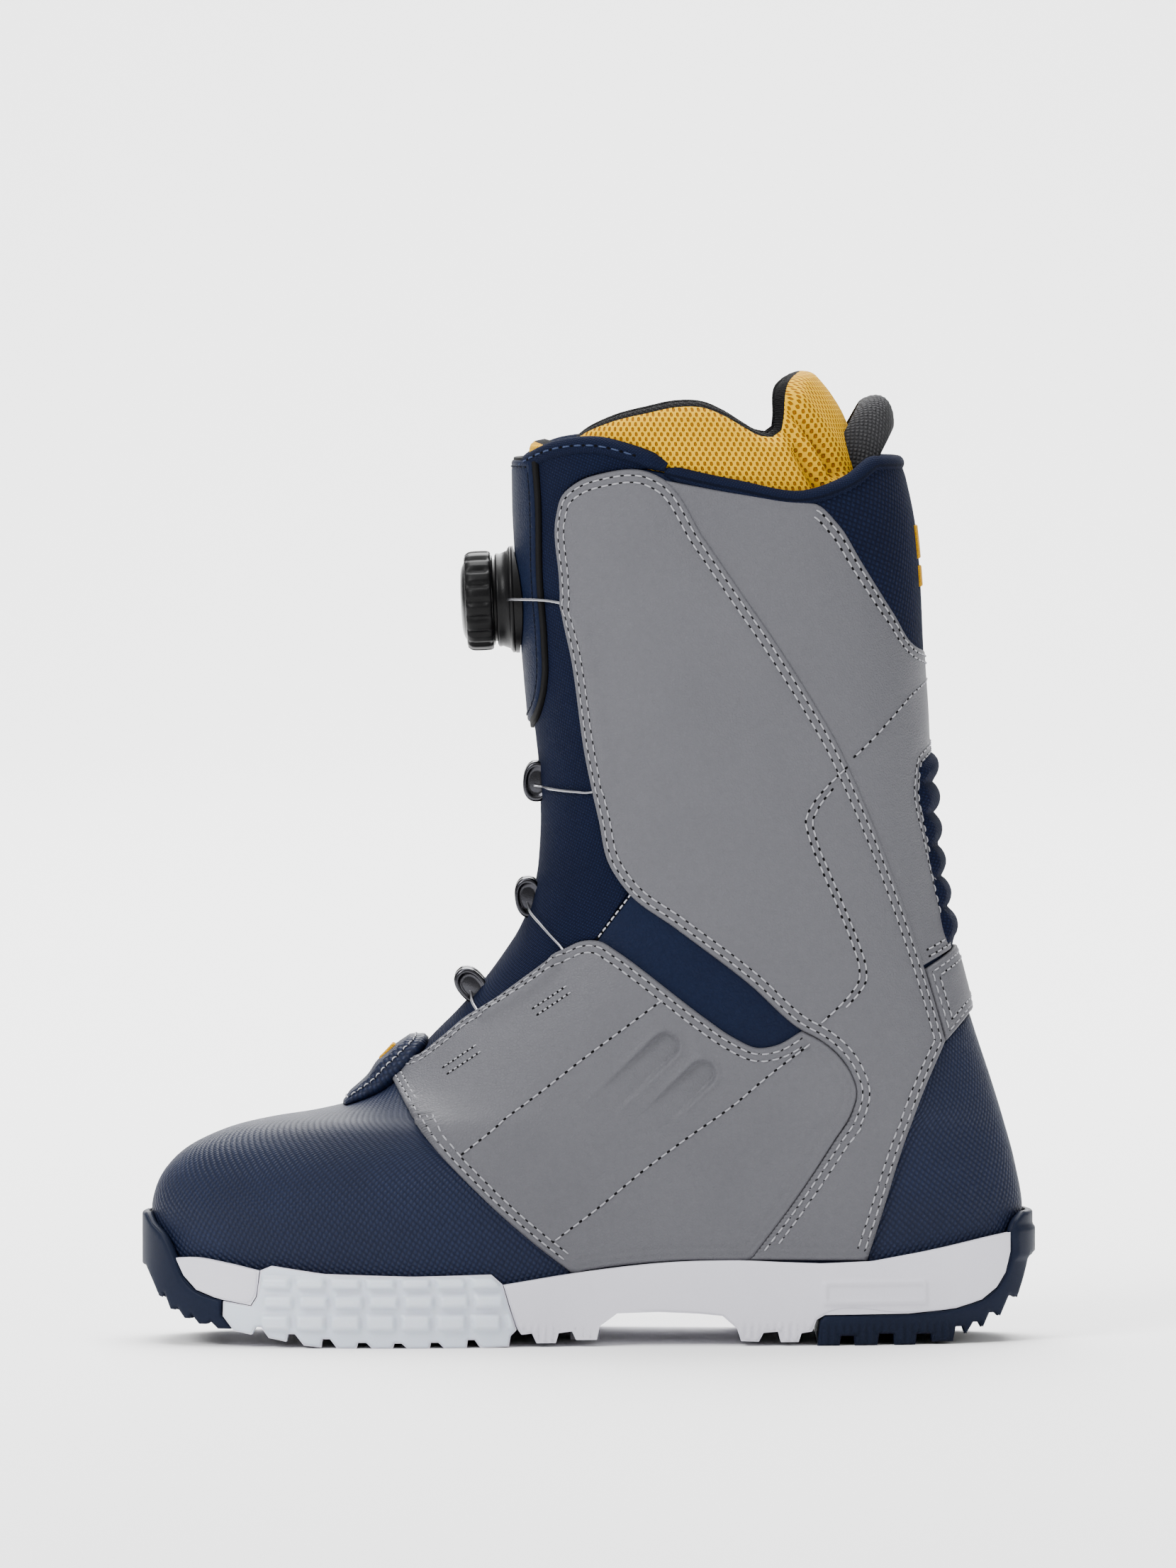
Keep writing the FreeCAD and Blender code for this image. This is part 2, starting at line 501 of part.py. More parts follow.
def make_pull_loop():
    """Webbing arch on the liner's back: an upside-down U across the boot, tilted backwards."""
    half_span, rise, thickness, width = 22.0, 34.0, 1.8, 15.0
    lean = math.radians(20)
    up = Vector(math.sin(lean), 0, math.cos(lean))
    across = Vector(math.cos(lean), 0, -math.sin(lean))
    foot = Vector(84.0, 0, 297.0)

    def arch(span, top):
        legs = [foot + Vector(0, -span, 0), foot + Vector(0, -span, 0) + up * (top - span)]
        crown = foot + up * top
        far = [p + Vector(0, 2 * span, 0) for p in reversed(legs)]
        edges = [
            Part.LineSegment(legs[0], legs[1]).toShape(),
            Part.Arc(legs[1], crown, far[0]).toShape(),
            Part.LineSegment(far[0], far[1]).toShape(),
            Part.LineSegment(far[1], legs[0]).toShape(),
        ]
        return Part.Face(Part.Wire(edges))

    band = arch(half_span, rise).cut(arch(half_span - thickness, rise - thickness))
    clear = liner_skin(-SKIN_WALL - LINER_GAP + 0.5).loft(heights_between(282, 345))
    over_collar = under([(x, z + 3.2) for x, z in COLLAR_LINE], 260)
    keep("pull_loop", solids_of(band.extrude(across * width).cut(clear).cut(over_collar), 50))


# ---- dial -----------------------------------------------------------------------------------------
def on_dial(shape):
    """Moves a shape made on local +Z to the dial's axis, which points out of the tongue."""
    placed = shape.copy()
    out = Vector(-math.cos(math.radians(DIAL_TILT)), 0, -math.sin(math.radians(DIAL_TILT)))
    placed.Placement = FreeCAD.Placement(DIAL_SEAT, FreeCAD.Rotation(Vector(0, 0, 1), out))
    return placed


def disc(radius, low, high):
    return Part.makeCylinder(radius, high - low, Vector(0, 0, low))


def ring(outer, inner, low, high):
    return disc(outer, low, high).cut(disc(inner, low - 1, high + 1))


def around(shape, count):
    copies = []
    for i in range(count):
        copy = shape.copy()
        copy.rotate(Vector(0, 0, 0), Vector(0, 0, 1), 360.0 * i / count)
        copies.append(copy)
    return copies


def make_dial():
    flange = disc(18.5, -5.0, 1.2)
    cup = Part.makeCone(17.0, 14.5, 6.0, Vector(0, 0, 1.2))
    bowl = disc(11.4, 1.6, 8)
    exits = cylinder(1.1, Vector(0, -25, 3.6), Vector(0, 25, 3.6))
    axle_hole = disc(2.0, 0.4, 2)
    base = join([flange, cup]).cut(Part.makeCompound([bowl, exits, axle_hole]))
    saddle = Skin(PATCH_OUTER + 0.25).loft(heights_between(215, 292))
    keep("dial_base", solids_of(on_dial(base).cut(saddle)))
    teeth = Part.makeCompound(around(box((11.2, -0.6, 7.2), (12.4, 0.6, 9.0)), 24))
    keep("ratchet_ring", on_dial(ring(14.2, 12.0, 7.2, 9.0).cut(teeth)))
    spool = join([disc(10.8, 1.8, 2.6), disc(7.2, 2.6, 4.8), disc(10.8, 4.8, 5.6)])
    keep("lace_spool", on_dial(spool.cut(disc(2.06, 1, 6))))
    keep("dial_axle", on_dial(disc(2.0, 0.4, 12.8)))
    pawl = join([box((5.6, -1.4, 7.4), (10.6, 1.4, 8.8)), box((9.4, -0.8, 7.4), (11.0, 3.2, 8.8))])
    pawls = around(pawl, 6)
    drive = join([ring(7.4, 2.06, 6.0, 13.2)] + pawls)
    keep("dial_drive", on_dial(drive))
    shell = join([disc(15.6, 8.0, 17.0), Part.makeCone(15.6, 12.0, 2.4, Vector(0, 0, 17.0))])
    hollow = join([disc(14.45, 7.5, 10.8), disc(7.5, 10.0, 14.2)])
    keep("knob_core", on_dial(shell.cut(hollow)))
    grip = ring(KNOB_RADIUS, 15.65, 8.6, 17.6)
    notches = Part.makeCompound(around(box((16.2, -1.2, 8.0), (18.0, 1.2, 18.0)), 18))
    keep("knob_grip", on_dial(solids_of(grip.cut(notches))))


# ---- lace and its guides ----------------------------------------------------------------------------
GUIDES = {  # name: (x, z) on the tongue's front, and the degrees that the tongue leans back there
    "guide_upper": (-16.9, 191.5, 2.0),
    "guide_middle": (-19.2, 152.0, -10.0),
    "guide_lower": (-38.4, 120.6, -40.0),
}


def make_guides():
    rivets = []
    clear = Skin(0.12).loft(heights_between(90, 230))
    for name, (x, z, lean) in GUIDES.items():
        barrel = Part.Ellipse(Vector(0, 0, 0), 6.9, 5.0).toShape()
        solid = Part.Face(Part.Wire(barrel)).extrude(Vector(0, 0, 15))
        placed = solid.copy()
        placed.Placement = FreeCAD.Placement(
            Vector(x - 0.6, -7.5, z), FreeCAD.Rotation(Vector(0, 1, 0), -90 + lean)
            * FreeCAD.Rotation(Vector(1, 0, 0), -90)
        )
        guide = placed.cut(clear)
        tilt = math.radians(lean)
        out = Vector(-math.cos(tilt), 0, -math.sin(tilt))
        channel = Vector(x, 0, z) + out * 2.9
        guide = guide.cut(cylinder(1.0, channel + Vector(0, -20, 0), channel + Vector(0, 20, 0)))
        foot = Vector(x, 0, z) - out * (SKIN_WALL - 0.8)
        rivet = cylinder(1.6, foot, Vector(x, 0, z) + out * 0.6)
        keep(name, solids_of(guide.cut(rivet), 5))
        rivets.append(rivet)
    keep("guide_rivets", Part.makeCompound(rivets))
    NODES["tongue"] = NODES["tongue"].cut(NODES["guide_rivets"])


def guide_channel(name):
    x, z, lean = GUIDES[name]
    tilt = math.radians(lean)
    return Vector(x, 0, z) + Vector(-math.cos(tilt), 0, -math.sin(tilt)) * 2.9


def along_skin(points, lift, sign):
    skin = Skin(lift)
    return [skin.side(x, z, sign) for x, z in points]


# Side-view runs of the lace on the skin. The stretch from TUBE_FROM to TUBE_TO of each is in a panel's tube.
UPPER_RUN = [
    (-15.0, 256.4), (-9.5, 254.2), (-4.0, 250.6), (-0.2, 243.0), (2.6, 228.0), (5.2, 211.0), (7.6, 198.5),
    (6.4, 191.8), (0.4, 189.4), (-7.0, 189.8), (-12.8, 190.7), (-16.0, 191.3),
]
LOWER_RUN = [
    (-20.6, 149.2), (-18.4, 145.4), (-14.6, 140.2), (-9.4, 134.8), (-12.0, 128.0), (-19.0, 121.8),
    (-27.0, 116.2), (-33.0, 112.6), (-37.2, 113.8), (-38.8, 117.0),
]
UPPER_TUBE, LOWER_TUBE = (1, 7), (3, 7)


def make_lace():
    """Steel lace, mirrored: dial, upper panel, upper guide; and middle guide, lower panel, lower guide."""
    wires = []
    seat = on_dial(Part.Vertex(0, 0, 3.6)).Point
    up, middle, low = (guide_channel(n) for n in ("guide_upper", "guide_middle", "guide_lower"))
    for side, sign in (("medial", -1), ("lateral", 1)):
        sideways = Vector(0, sign, 0)
        upper = [seat + sideways * 9.0, seat + sideways * 20.0] + along_skin(UPPER_RUN, LACE_LIFT, sign)
        upper += [up + sideways * 9.0, up]
        lower = [middle, middle + sideways * 9.0] + along_skin(LOWER_RUN, LACE_LIFT, sign)
        lower += [low + sideways * 9.0, low]
        tubes = []
        for route, (first, last) in ((upper, UPPER_TUBE), (lower, LOWER_TUBE)):
            edges = rounded_route(route)
            wires.append(sweep(edges, LACE_RADIUS))
            inside = edges[2 * (first + 2): 2 * (last + 2)]
            tubes.append(sweep(inside, LACE_TUBE_RADIUS).cut(sweep(inside, LACE_TUBE_BORE)))
            length = sum(edge.Length for edge in edges)
            radii = [round(e.Curve.Radius, 1) for e in edges if hasattr(e.Curve, "Radius")]
            print(f"lace {side}: {length:.1f} mm, bend radii {radii}")
        keep(f"lace_tubes_{side}", Part.makeCompound(tubes))
    keep("lace", Part.makeCompound(wires))


# ---- build ------------------------------------------------------------------------------------------
def build():
    wall = make_wall()
    make_upper(wall)
    make_tongue(wall)
    make_collar_rim()
    make_panels()
    make_heel_mark()
    make_tab()
    make_sole()
    make_floor_layers()
    make_liner()
    make_pull_loop()
    make_dial()
    make_guides()
    make_lace()
    os.makedirs("parts", exist_ok=True)
    for name, shape in NODES.items():
        volume = sum(s.Volume for s in shape.Solids)
        print(f"{name}: {len(shape.Solids)} solids, {volume / 1000:.2f} cm3, valid {shape.isValid()}")
        shape.exportStep(f"parts/{name}.step")


build()
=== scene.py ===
"""Dial-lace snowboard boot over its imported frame. Sizes are in millimetres here and metres in the meshes."""

import json
import math

import bpy
import numpy as np
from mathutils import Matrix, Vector
from mathutils.geometry import delaunay_2d_cdt


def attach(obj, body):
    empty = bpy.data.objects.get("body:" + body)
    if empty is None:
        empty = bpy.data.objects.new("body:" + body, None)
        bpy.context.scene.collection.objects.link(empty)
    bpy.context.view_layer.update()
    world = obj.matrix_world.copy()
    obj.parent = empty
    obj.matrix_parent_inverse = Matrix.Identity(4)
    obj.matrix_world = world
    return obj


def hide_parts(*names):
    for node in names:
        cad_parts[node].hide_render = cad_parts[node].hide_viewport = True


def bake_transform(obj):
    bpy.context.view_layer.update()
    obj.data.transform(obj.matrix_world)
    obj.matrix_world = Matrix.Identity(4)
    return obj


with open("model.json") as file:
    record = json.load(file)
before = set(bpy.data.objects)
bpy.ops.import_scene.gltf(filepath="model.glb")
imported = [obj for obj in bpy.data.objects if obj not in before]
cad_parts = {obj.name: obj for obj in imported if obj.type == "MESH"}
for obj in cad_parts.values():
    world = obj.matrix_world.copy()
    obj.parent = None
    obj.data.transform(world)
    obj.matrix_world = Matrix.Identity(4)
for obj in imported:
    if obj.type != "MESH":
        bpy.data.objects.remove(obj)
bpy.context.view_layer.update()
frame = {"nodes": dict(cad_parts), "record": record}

MM = 0.001
TAU = 2 * math.pi
CHUNK = 2000  # points measured at once, to keep the distance tables small

# ---- the boot's base skin, as in the frame ----------------------------------------------------------
FRONT_FULLNESS, BACK_FULLNESS = 2.5, 2.7
FRONT_PROFILE = [
    (16, -143.0), (30, -148.8), (40, -150.0), (46, -150.0), (52, -148.8), (57, -146.6),
    (62, -142.7), (66, -138.0), (70, -130.5), (73.5, -121.0), (76, -109.5), (78, -96.0),
    (81, -83.0), (86, -72.0), (92, -65.0), (98, -59.5), (105, -53.0), (113, -45.0),
    (122, -37.0), (132, -29.5), (142, -23.2), (152, -19.3), (165, -17.0), (180, -16.3),
    (195, -16.8), (215, -18.8), (240, -21.0), (265, -22.8), (290, -24.0), (325, -24.3),
]
BACK_PROFILE = [
    (16, 144.0), (30, 148.2), (45, 149.6), (60, 147.2), (75, 143.2), (90, 138.6),
    (105, 133.6), (120, 129.0), (135, 125.2), (150, 121.8), (165, 119.2), (180, 117.6),
    (200, 116.6), (220, 115.7), (240, 114.3), (260, 113.4), (280, 111.6), (300, 107.5),
    (325, 102.0),
]
LINER_TOP_BACK = [
    (275, 107.4), (290, 100.4), (300, 96.4), (310, 93.2), (319, 89.8), (327, 85.0), (333, 80.0), (342, 71),
]


class Curve:
    """A monotone cubic through (input, value) points, for arrays."""

    def __init__(self, points):
        self.x, self.y = (np.array(c, float) for c in zip(*points))
        d = np.diff(self.y) / np.diff(self.x)
        m = np.empty(len(self.x))
        m[0], m[-1] = d[0], d[-1]
        both = d[:-1] * d[1:]
        m[1:-1] = np.where(both > 0, 2 * both / np.where(both > 0, d[:-1] + d[1:], 1), 0)
        self.m = m

    def __call__(self, x):
        x = np.clip(x, self.x[0], self.x[-1])
        i = np.clip(np.searchsorted(self.x, x, side="right") - 1, 0, len(self.x) - 2)
        h = self.x[i + 1] - self.x[i]
        t = (x - self.x[i]) / h
        a, b, rise = self.m[i] * h, self.m[i + 1] * h, self.y[i + 1] - self.y[i]
        return self.y[i] + t * (a + t * ((3 * rise - 2 * a - b) + t * (a + b - 2 * rise)))


def smooth_step(low, high, value):
    t = np.clip((np.asarray(value, float) - low) / (high - low), 0, 1)
    return t * t * (3 - 2 * t)


foot_half_width = Curve([(-153, 54), (-75, 56), (15, 46), (100, 43.5), (153, 43.5)])
shaft_half_width = Curve([(60, 45.5), (135, 45.5), (220, 50), (325, 52)])
foot_centre_line = Curve([(-153, -9.0), (-110, -5.0), (-65, 0.5), (0, 4.0), (60, 2.0), (153, 0.0)])


class Skin:
    """A skin of level sections. Angle 0 is the toe end, pi the heel end; the -Y side is between them.

    Unrolled, a point is (s, v): s is the way round the section at the level height; v is the way up the
    front line, or the height."""

    def __init__(self, front, back, wider, level, up_front=False):
        self.front, self.back, self.wider = Curve(front), Curve(back), wider
        heights = np.linspace(front[0][0], front[-1][0], 1200)
        steps = np.hypot(np.diff(heights), np.diff(self.front(heights)))
        self.heights = heights
        self.lengths = np.concatenate([[0], np.cumsum(steps)]) + front[0][0] if up_front else heights
        self.angles = np.linspace(-math.pi, 3 * math.pi, 16001)
        section = self.at(self.angles, np.full(16001, float(level)))
        way = np.concatenate([[0], np.cumsum(np.linalg.norm(np.diff(section, axis=0), axis=1))])
        self.ways = way - np.interp(0.0, self.angles, way)
        self.half_turn = float(np.interp(math.pi, self.angles, self.ways))

    def width(self, x, z):
        to_shaft = smooth_step(50, 120, z)
        return foot_half_width(x) * (1 - to_shaft) + shaft_half_width(z) * to_shaft + self.wider

    def at(self, u, z):
        front, back = self.front(z), self.back(z)
        along = np.cos(u)
        power = np.where(along > 0, FRONT_FULLNESS, BACK_FULLNESS)
        t = -np.sign(along) * np.abs(along) ** (2 / power)
        x = (front + back) / 2 + t * (back - front) / 2
        bulge = np.maximum(0, 1 - np.abs(t) ** power) ** (1 / power)
        y = -np.sign(np.sin(u)) * self.width(x, z) * bulge
        y = y + foot_centre_line(x) * (1 - smooth_step(60, 120, z))
        return np.stack([x, y, z + 0 * x], -1)

    def flat(self, x, z, side=-1):
        """The unrolled place of the skin's point at (x, z) in side view, on one side."""
        front, back = self.front(z), self.back(z)
        t = np.clip((x - (front + back) / 2) / ((back - front) / 2), -1, 1)
        power = np.where(t < 0, FRONT_FULLNESS, BACK_FULLNESS)
        u = np.arccos(np.clip(-np.sign(t) * np.abs(t) ** (power / 2), -1, 1))
        s = np.interp(u if side < 0 else TAU - u, self.angles, self.ways)
        return np.stack([s, np.interp(z, self.heights, self.lengths)], -1)

    def point(self, flat):
        angle = np.interp(flat[:, 0], self.ways, self.angles)
        return self.at(angle, np.interp(flat[:, 1], self.lengths, self.heights))

    def frame_at(self, flat):
        """Points, unit outward normals, and the two tangents per unrolled millimetre."""
        step = np.array([[0.5, 0.0], [0.0, 0.4]])
        ts = self.point(flat + step[0]) - self.point(flat - step[0])
        tv = (self.point(flat + step[1]) - self.point(flat - step[1])) / 0.8
        normal = np.cross(ts, tv)
        normal /= np.maximum(np.linalg.norm(normal, axis=-1, keepdims=True), 1e-9)
        return self.point(flat), normal, ts, tv


VAMP = Skin(FRONT_PROFILE, BACK_PROFILE, 0.0, 60, True)
UPPER = Skin(FRONT_PROFILE, BACK_PROFILE, 0.0, 60)
SHAFT = Skin(FRONT_PROFILE, BACK_PROFILE, 0.0, 200)
SHIN = Skin(FRONT_PROFILE, BACK_PROFILE, 0.0, 200, True)
SOLE = Skin([(-4, -151.0), (20, -152.7), (46, -152.7), (60, -152.7)],
            [(-4, 151.0), (20, 152.6), (46, 152.6), (60, 152.6)], 3.0, 20)
LINER = Skin(FRONT_PROFILE[:-1] + [(345, -22.5)],
             [p for p in BACK_PROFILE if p[0] < 262] + LINER_TOP_BACK, 0.0, 300)


# ---- side-view outlines: (x, z) -----------------------------------------------------------------------
SHIN_EDGE = [  # the upper panel's front edge, beside the tongue
    (14, 155), (7.5, 165), (4.2, 180), (2, 190), (0, 200), (-5, 235), (-8.5, 253), (-9, 262), (-10, 284),
    (-8, 291), (-3, 295.5),
]
BACK_SEAM = [  # from under the collar down to the heel strap, between the upper panel and the rear cuff
    (40, 276), (52, 258.5), (64, 241), (75, 223.5), (85, 206), (92, 190.5), (100, 170.5), (108, 148),
]
TONGUE_EDGE = [
    (-62.5, 95), (-57, 97.5), (-50, 103), (-40, 111.5), (-33, 116), (-20, 126), (-7, 135.5),
    (-2, 137.8), (3, 138.3),
] + SHIN_EDGE + [(5, 298), (20, 299.5), (27, 300.5)]
LOWER_QUARTER = [
    (-67.5, 91), (-60, 78), (-36, 51), (-20, 36.5), (-5.5, 25.0), (0, 26), (28, 29), (55.6, 29.4),
    (71, 50), (84, 70), (90, 80), (91.8, 87), (90, 93), (86, 99), (79, 105), (73, 108), (64, 103),
    (58, 102.2), (50, 105.6), (40, 112.4), (30, 120), (20, 127.8), (10, 135), (4, 138.4), (-2, 138.2),
    (-7, 135.8), (-20, 126.3), (-33, 116.3), (-40, 111.8), (-50, 103.3), (-57, 97.8), (-64, 95),
]
UPPER_QUARTER = [
    (55.2, 29.4), (70.8, 50), (84, 70), (90, 80), (91.6, 87), (89.8, 93), (86, 99),
    (79.2, 104.8), (73, 108.2), (55, 124), (30, 143),
] + SHIN_EDGE + [(5, 298.4), (20, 299.2), (25.6, 296.6)] + BACK_SEAM + [
    (114.4, 128.3), (119, 113), (121.6, 103.5), (115.4, 89), (107.4, 67), (101.2, 47), (95.4, 29),
]
REAR_CUFF_EDGE = [  # from the back silhouette at the flex bellows round to the back silhouette at the collar
    (150, 202.8), (118.6, 202.8), (113.3, 197.4), (112.8, 190), (115.2, 175), (119.2, 155), (124, 134.6),
    (112.4, 128.6),
] + [(x - 1.9, z) for x, z in BACK_SEAM[::-1]] + [
    (24.4, 296.4), (50, 291.8), (74, 288.6), (77.5, 288.0),
    (85, 281.2), (93, 268.2), (104, 250.2), (111, 239.2), (117, 235.9), (150, 235.9),
]
HEEL_STRAP_EDGE = [
    (150, 137.3), (128.2, 137.3), (124.4, 134.5), (114.8, 128.4), (119.2, 113), (122, 103.6), (132, 114.8),
    (150, 114.8),
]
HEEL_COUNTER_EDGE = [
    (150, 112), (131, 112.6), (119.5, 100), (113, 84), (105.4, 64), (99.4, 44), (93, 21), (150, 21),
]
ACCORDION_EDGE = [
    (150, 134.5), (126, 134.5), (121.5, 133), (117, 155), (113.4, 175), (111, 190), (111.4, 199), (117, 205),
    (150, 205),
]
COLLAR_EDGE = [
    (150, 231), (114, 231.5), (107.6, 236), (101, 247), (89.6, 266), (82, 278), (71, 284.5), (60, 288.5),
    (60, 292.0), (75, 290.3), (90, 295.8), (100, 302.6), (112, 302.6), (150, 302.6),
]
VAMP_EDGE = [(-5, 20.5), (-4.5, 25.5), (-34.5, 53.6), (-66.0, 91.2), (-75, 91.4)]
COLLAR_LINE = [(27, 300.5), (50, 295), (75, 291.5), (90, 297), (100, 304), (112, 304)]


# ---- meshes -----------------------------------------------------------------------------------------
def make_object(name, verts, faces, material, uv=None):
    """verts in millimetres; uv in millimetres too, one pair a vertex."""
    mesh = bpy.data.meshes.new(name)
    mesh.from_pydata((np.asarray(verts, float) * MM).tolist(), [], faces)
    if uv is not None:
        layer = mesh.uv_layers.new(name="UVMap")
        loops = np.empty(len(mesh.loops), int)
        mesh.loops.foreach_get("vertex_index", loops)
        layer.data.foreach_set("uv", (np.asarray(uv, float)[loops] * 0.01).ravel())
    mesh.polygons.foreach_set("use_smooth", [True] * len(mesh.polygons))
    mesh.materials.append(material)
    mesh.validate()
    piece = bpy.data.objects.new(name, mesh)
    bpy.context.scene.collection.objects.link(piece)
    return piece


def settle(piece, body, slot, *nodes):
    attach(piece, body)
    if nodes:
        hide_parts(*nodes)


def grid_faces(rows, columns, closed_rows=False, closed_columns=False):
    faces = []
    for i in range(rows if closed_rows else rows - 1):
        for j in range(columns if closed_columns else columns - 1):
            a, b = i * columns + j, i * columns + (j + 1) % columns
            k = (i + 1) % rows
            c, d = k * columns + (j + 1) % columns, k * columns + j
            faces.append((a, b, c, d))
    return faces


def span_points(a, leaving, b, arriving, steps):
    """Hermite points from a up to, not including, b, in that many steps."""
    out = []
    for t in np.linspace(0, 1, steps + 1)[:-1]:
        out.append((2 * t**3 - 3 * t**2 + 1) * a + (t**3 - 2 * t**2 + t) * leaving
                   + (-2 * t**3 + 3 * t**2) * b + (t**3 - t**2) * arriving)
    return out


def smooth_outline(points, step, closed=True, corner=38.0):
    """Catmull-Rom through the points at even steps, sharp where they turn more than corner degrees."""
    p = np.array(points, float)
    n = len(p)
    order = range(n) if closed else range(n - 1)

    def tangent(i):
        if not closed and i in (0, n - 1):
            return None
        a, b = p[i] - p[i - 1], p[(i + 1) % n] - p[i]
        turn = abs(math.degrees(math.atan2(a[0] * b[1] - a[1] * b[0], a @ b)))
        if turn > corner:
            return None
        la, lb = np.linalg.norm(a), np.linalg.norm(b)
        return (a / la * lb + b / lb * la) / (la + lb)

    tangents = [tangent(i) for i in range(n)]
    out = []
    for i in order:
        a, b = p[i], p[(i + 1) % n]
        length = np.linalg.norm(b - a)
        ta, tb = tangents[i], tangents[(i + 1) % n]
        chord = (b - a) / length
        ta = (chord if ta is None else ta) * length
        tb = (chord if tb is None else tb) * length
        out += span_points(a, ta, b, tb, max(1, int(round(length / step))))
    if not closed:
        out.append(p[-1])
    return np.array(out)


def side_loop(skin, outline, side, step=1.6, corner=38.0):
    """An outline on one side as unrolled points. side is -1 for -Y, 1 for +Y."""
    xz = smooth_outline(outline, step, True, corner)
    return skin.flat(xz[:, 0], xz[:, 1], side)


def end_loop(skin, edge, back, step=1.6, corner=38.0):
    """An edge that runs off the front or back silhouette at both ends, with its mirror image, as one loop."""
    xz = smooth_outline(edge, step, False, corner)
    half = skin.flat(xz[:, 0], xz[:, 1])
    middle = skin.half_turn if back else 0.0
    off_it = np.abs(half[:, 0] - middle) > 1e-3
    first, last = int(np.argmax(off_it)), len(off_it) - 1 - int(np.argmax(off_it[::-1]))
    first, last = max(first - 1, 0), min(last + 1, len(half) - 1)
    half = half[first:last + 1]
    other = half[::-1] * [-1, 1] + [2 * middle, 0]
    return np.concatenate([half, other])


def between(start, end, most):
    """Even points between start and end, where they lie more than most apart."""
    parts = int(math.ceil(np.linalg.norm(end - start) / most))
    return [start + (end - start) * k / parts for k in range(1, parts)]


def clean_loop(loop, least=0.2, most=2.5):
    """The loop anticlockwise, without doubled points and without long gaps."""
    kept = [loop[0]]
    for q in loop[1:]:
        gap = np.linalg.norm(q - kept[-1])
        kept += between(kept[-1], q, most)
        if gap > least:
            kept.append(q)
    if np.linalg.norm(kept[0] - kept[-1]) < least:
        kept.pop()
    else:
        kept += between(kept[-1], kept[0], most)
    kept = np.array(kept)
    x, y = kept[:, 0], kept[:, 1]
    if (x * np.roll(y, -1) - np.roll(x, -1) * y).sum() < 0:
        kept = kept[::-1]
    return kept


def inside_loop(points, loop):
    x, y = points[:, 0][:, None], points[:, 1][:, None]
    x0, y0 = loop[:, 0][None], loop[:, 1][None]
    x1, y1 = np.roll(loop[:, 0], -1)[None], np.roll(loop[:, 1], -1)[None]
    crosses = ((y0 > y) != (y1 > y)) & (x < (x1 - x0) * (y - y0) / np.where(y1 == y0, 1e-9, y1 - y0) + x0)
    return crosses.sum(1) % 2 == 1


def nearest(points, others):
    """Distance from each point to the closed loop of others."""
    ab = np.roll(others, -1, 0) - others
    length = np.maximum((ab * ab).sum(-1), 1e-12)
    best = np.empty(len(points))
    for k in range(0, len(points), CHUNK):
        p = points[k:k + CHUNK, None]
        t = np.clip(((p - others) * ab).sum(-1) / length, 0, 1)
        best[k:k + CHUNK] = np.linalg.norm(p - (others + t[..., None] * ab), axis=-1).min(1)
    return best


def inset(skin, loop, distance):
    """The loop moved inwards over the skin, with a mask of the points that keep their distance."""
    point, normal, ts, tv = skin.frame_at(loop)
    along = np.roll(point, -1, 0) - np.roll(point, 1, 0)
    along /= np.maximum(np.linalg.norm(along, axis=1, keepdims=True), 1e-9)
    inward = np.cross(normal, along)
    g11, g12, g22 = (ts * ts).sum(1), (ts * tv).sum(1), (tv * tv).sum(1)
    r1, r2 = (ts * inward).sum(1), (tv * inward).sum(1)
    det = np.maximum(g11 * g22 - g12 * g12, 1e-6)
    step = np.stack([(g22 * r1 - g12 * r2) / det, (g11 * r2 - g12 * r1) / det], -1)
    if inside_loop(loop + step * 0.3, loop).mean() < 0.5:
        step = -step
    moved = loop + step * distance
    near = nearest(skin.point(moved), point)
    good = (near > 0.9 * distance) & inside_loop(moved, loop)
    return moved, good


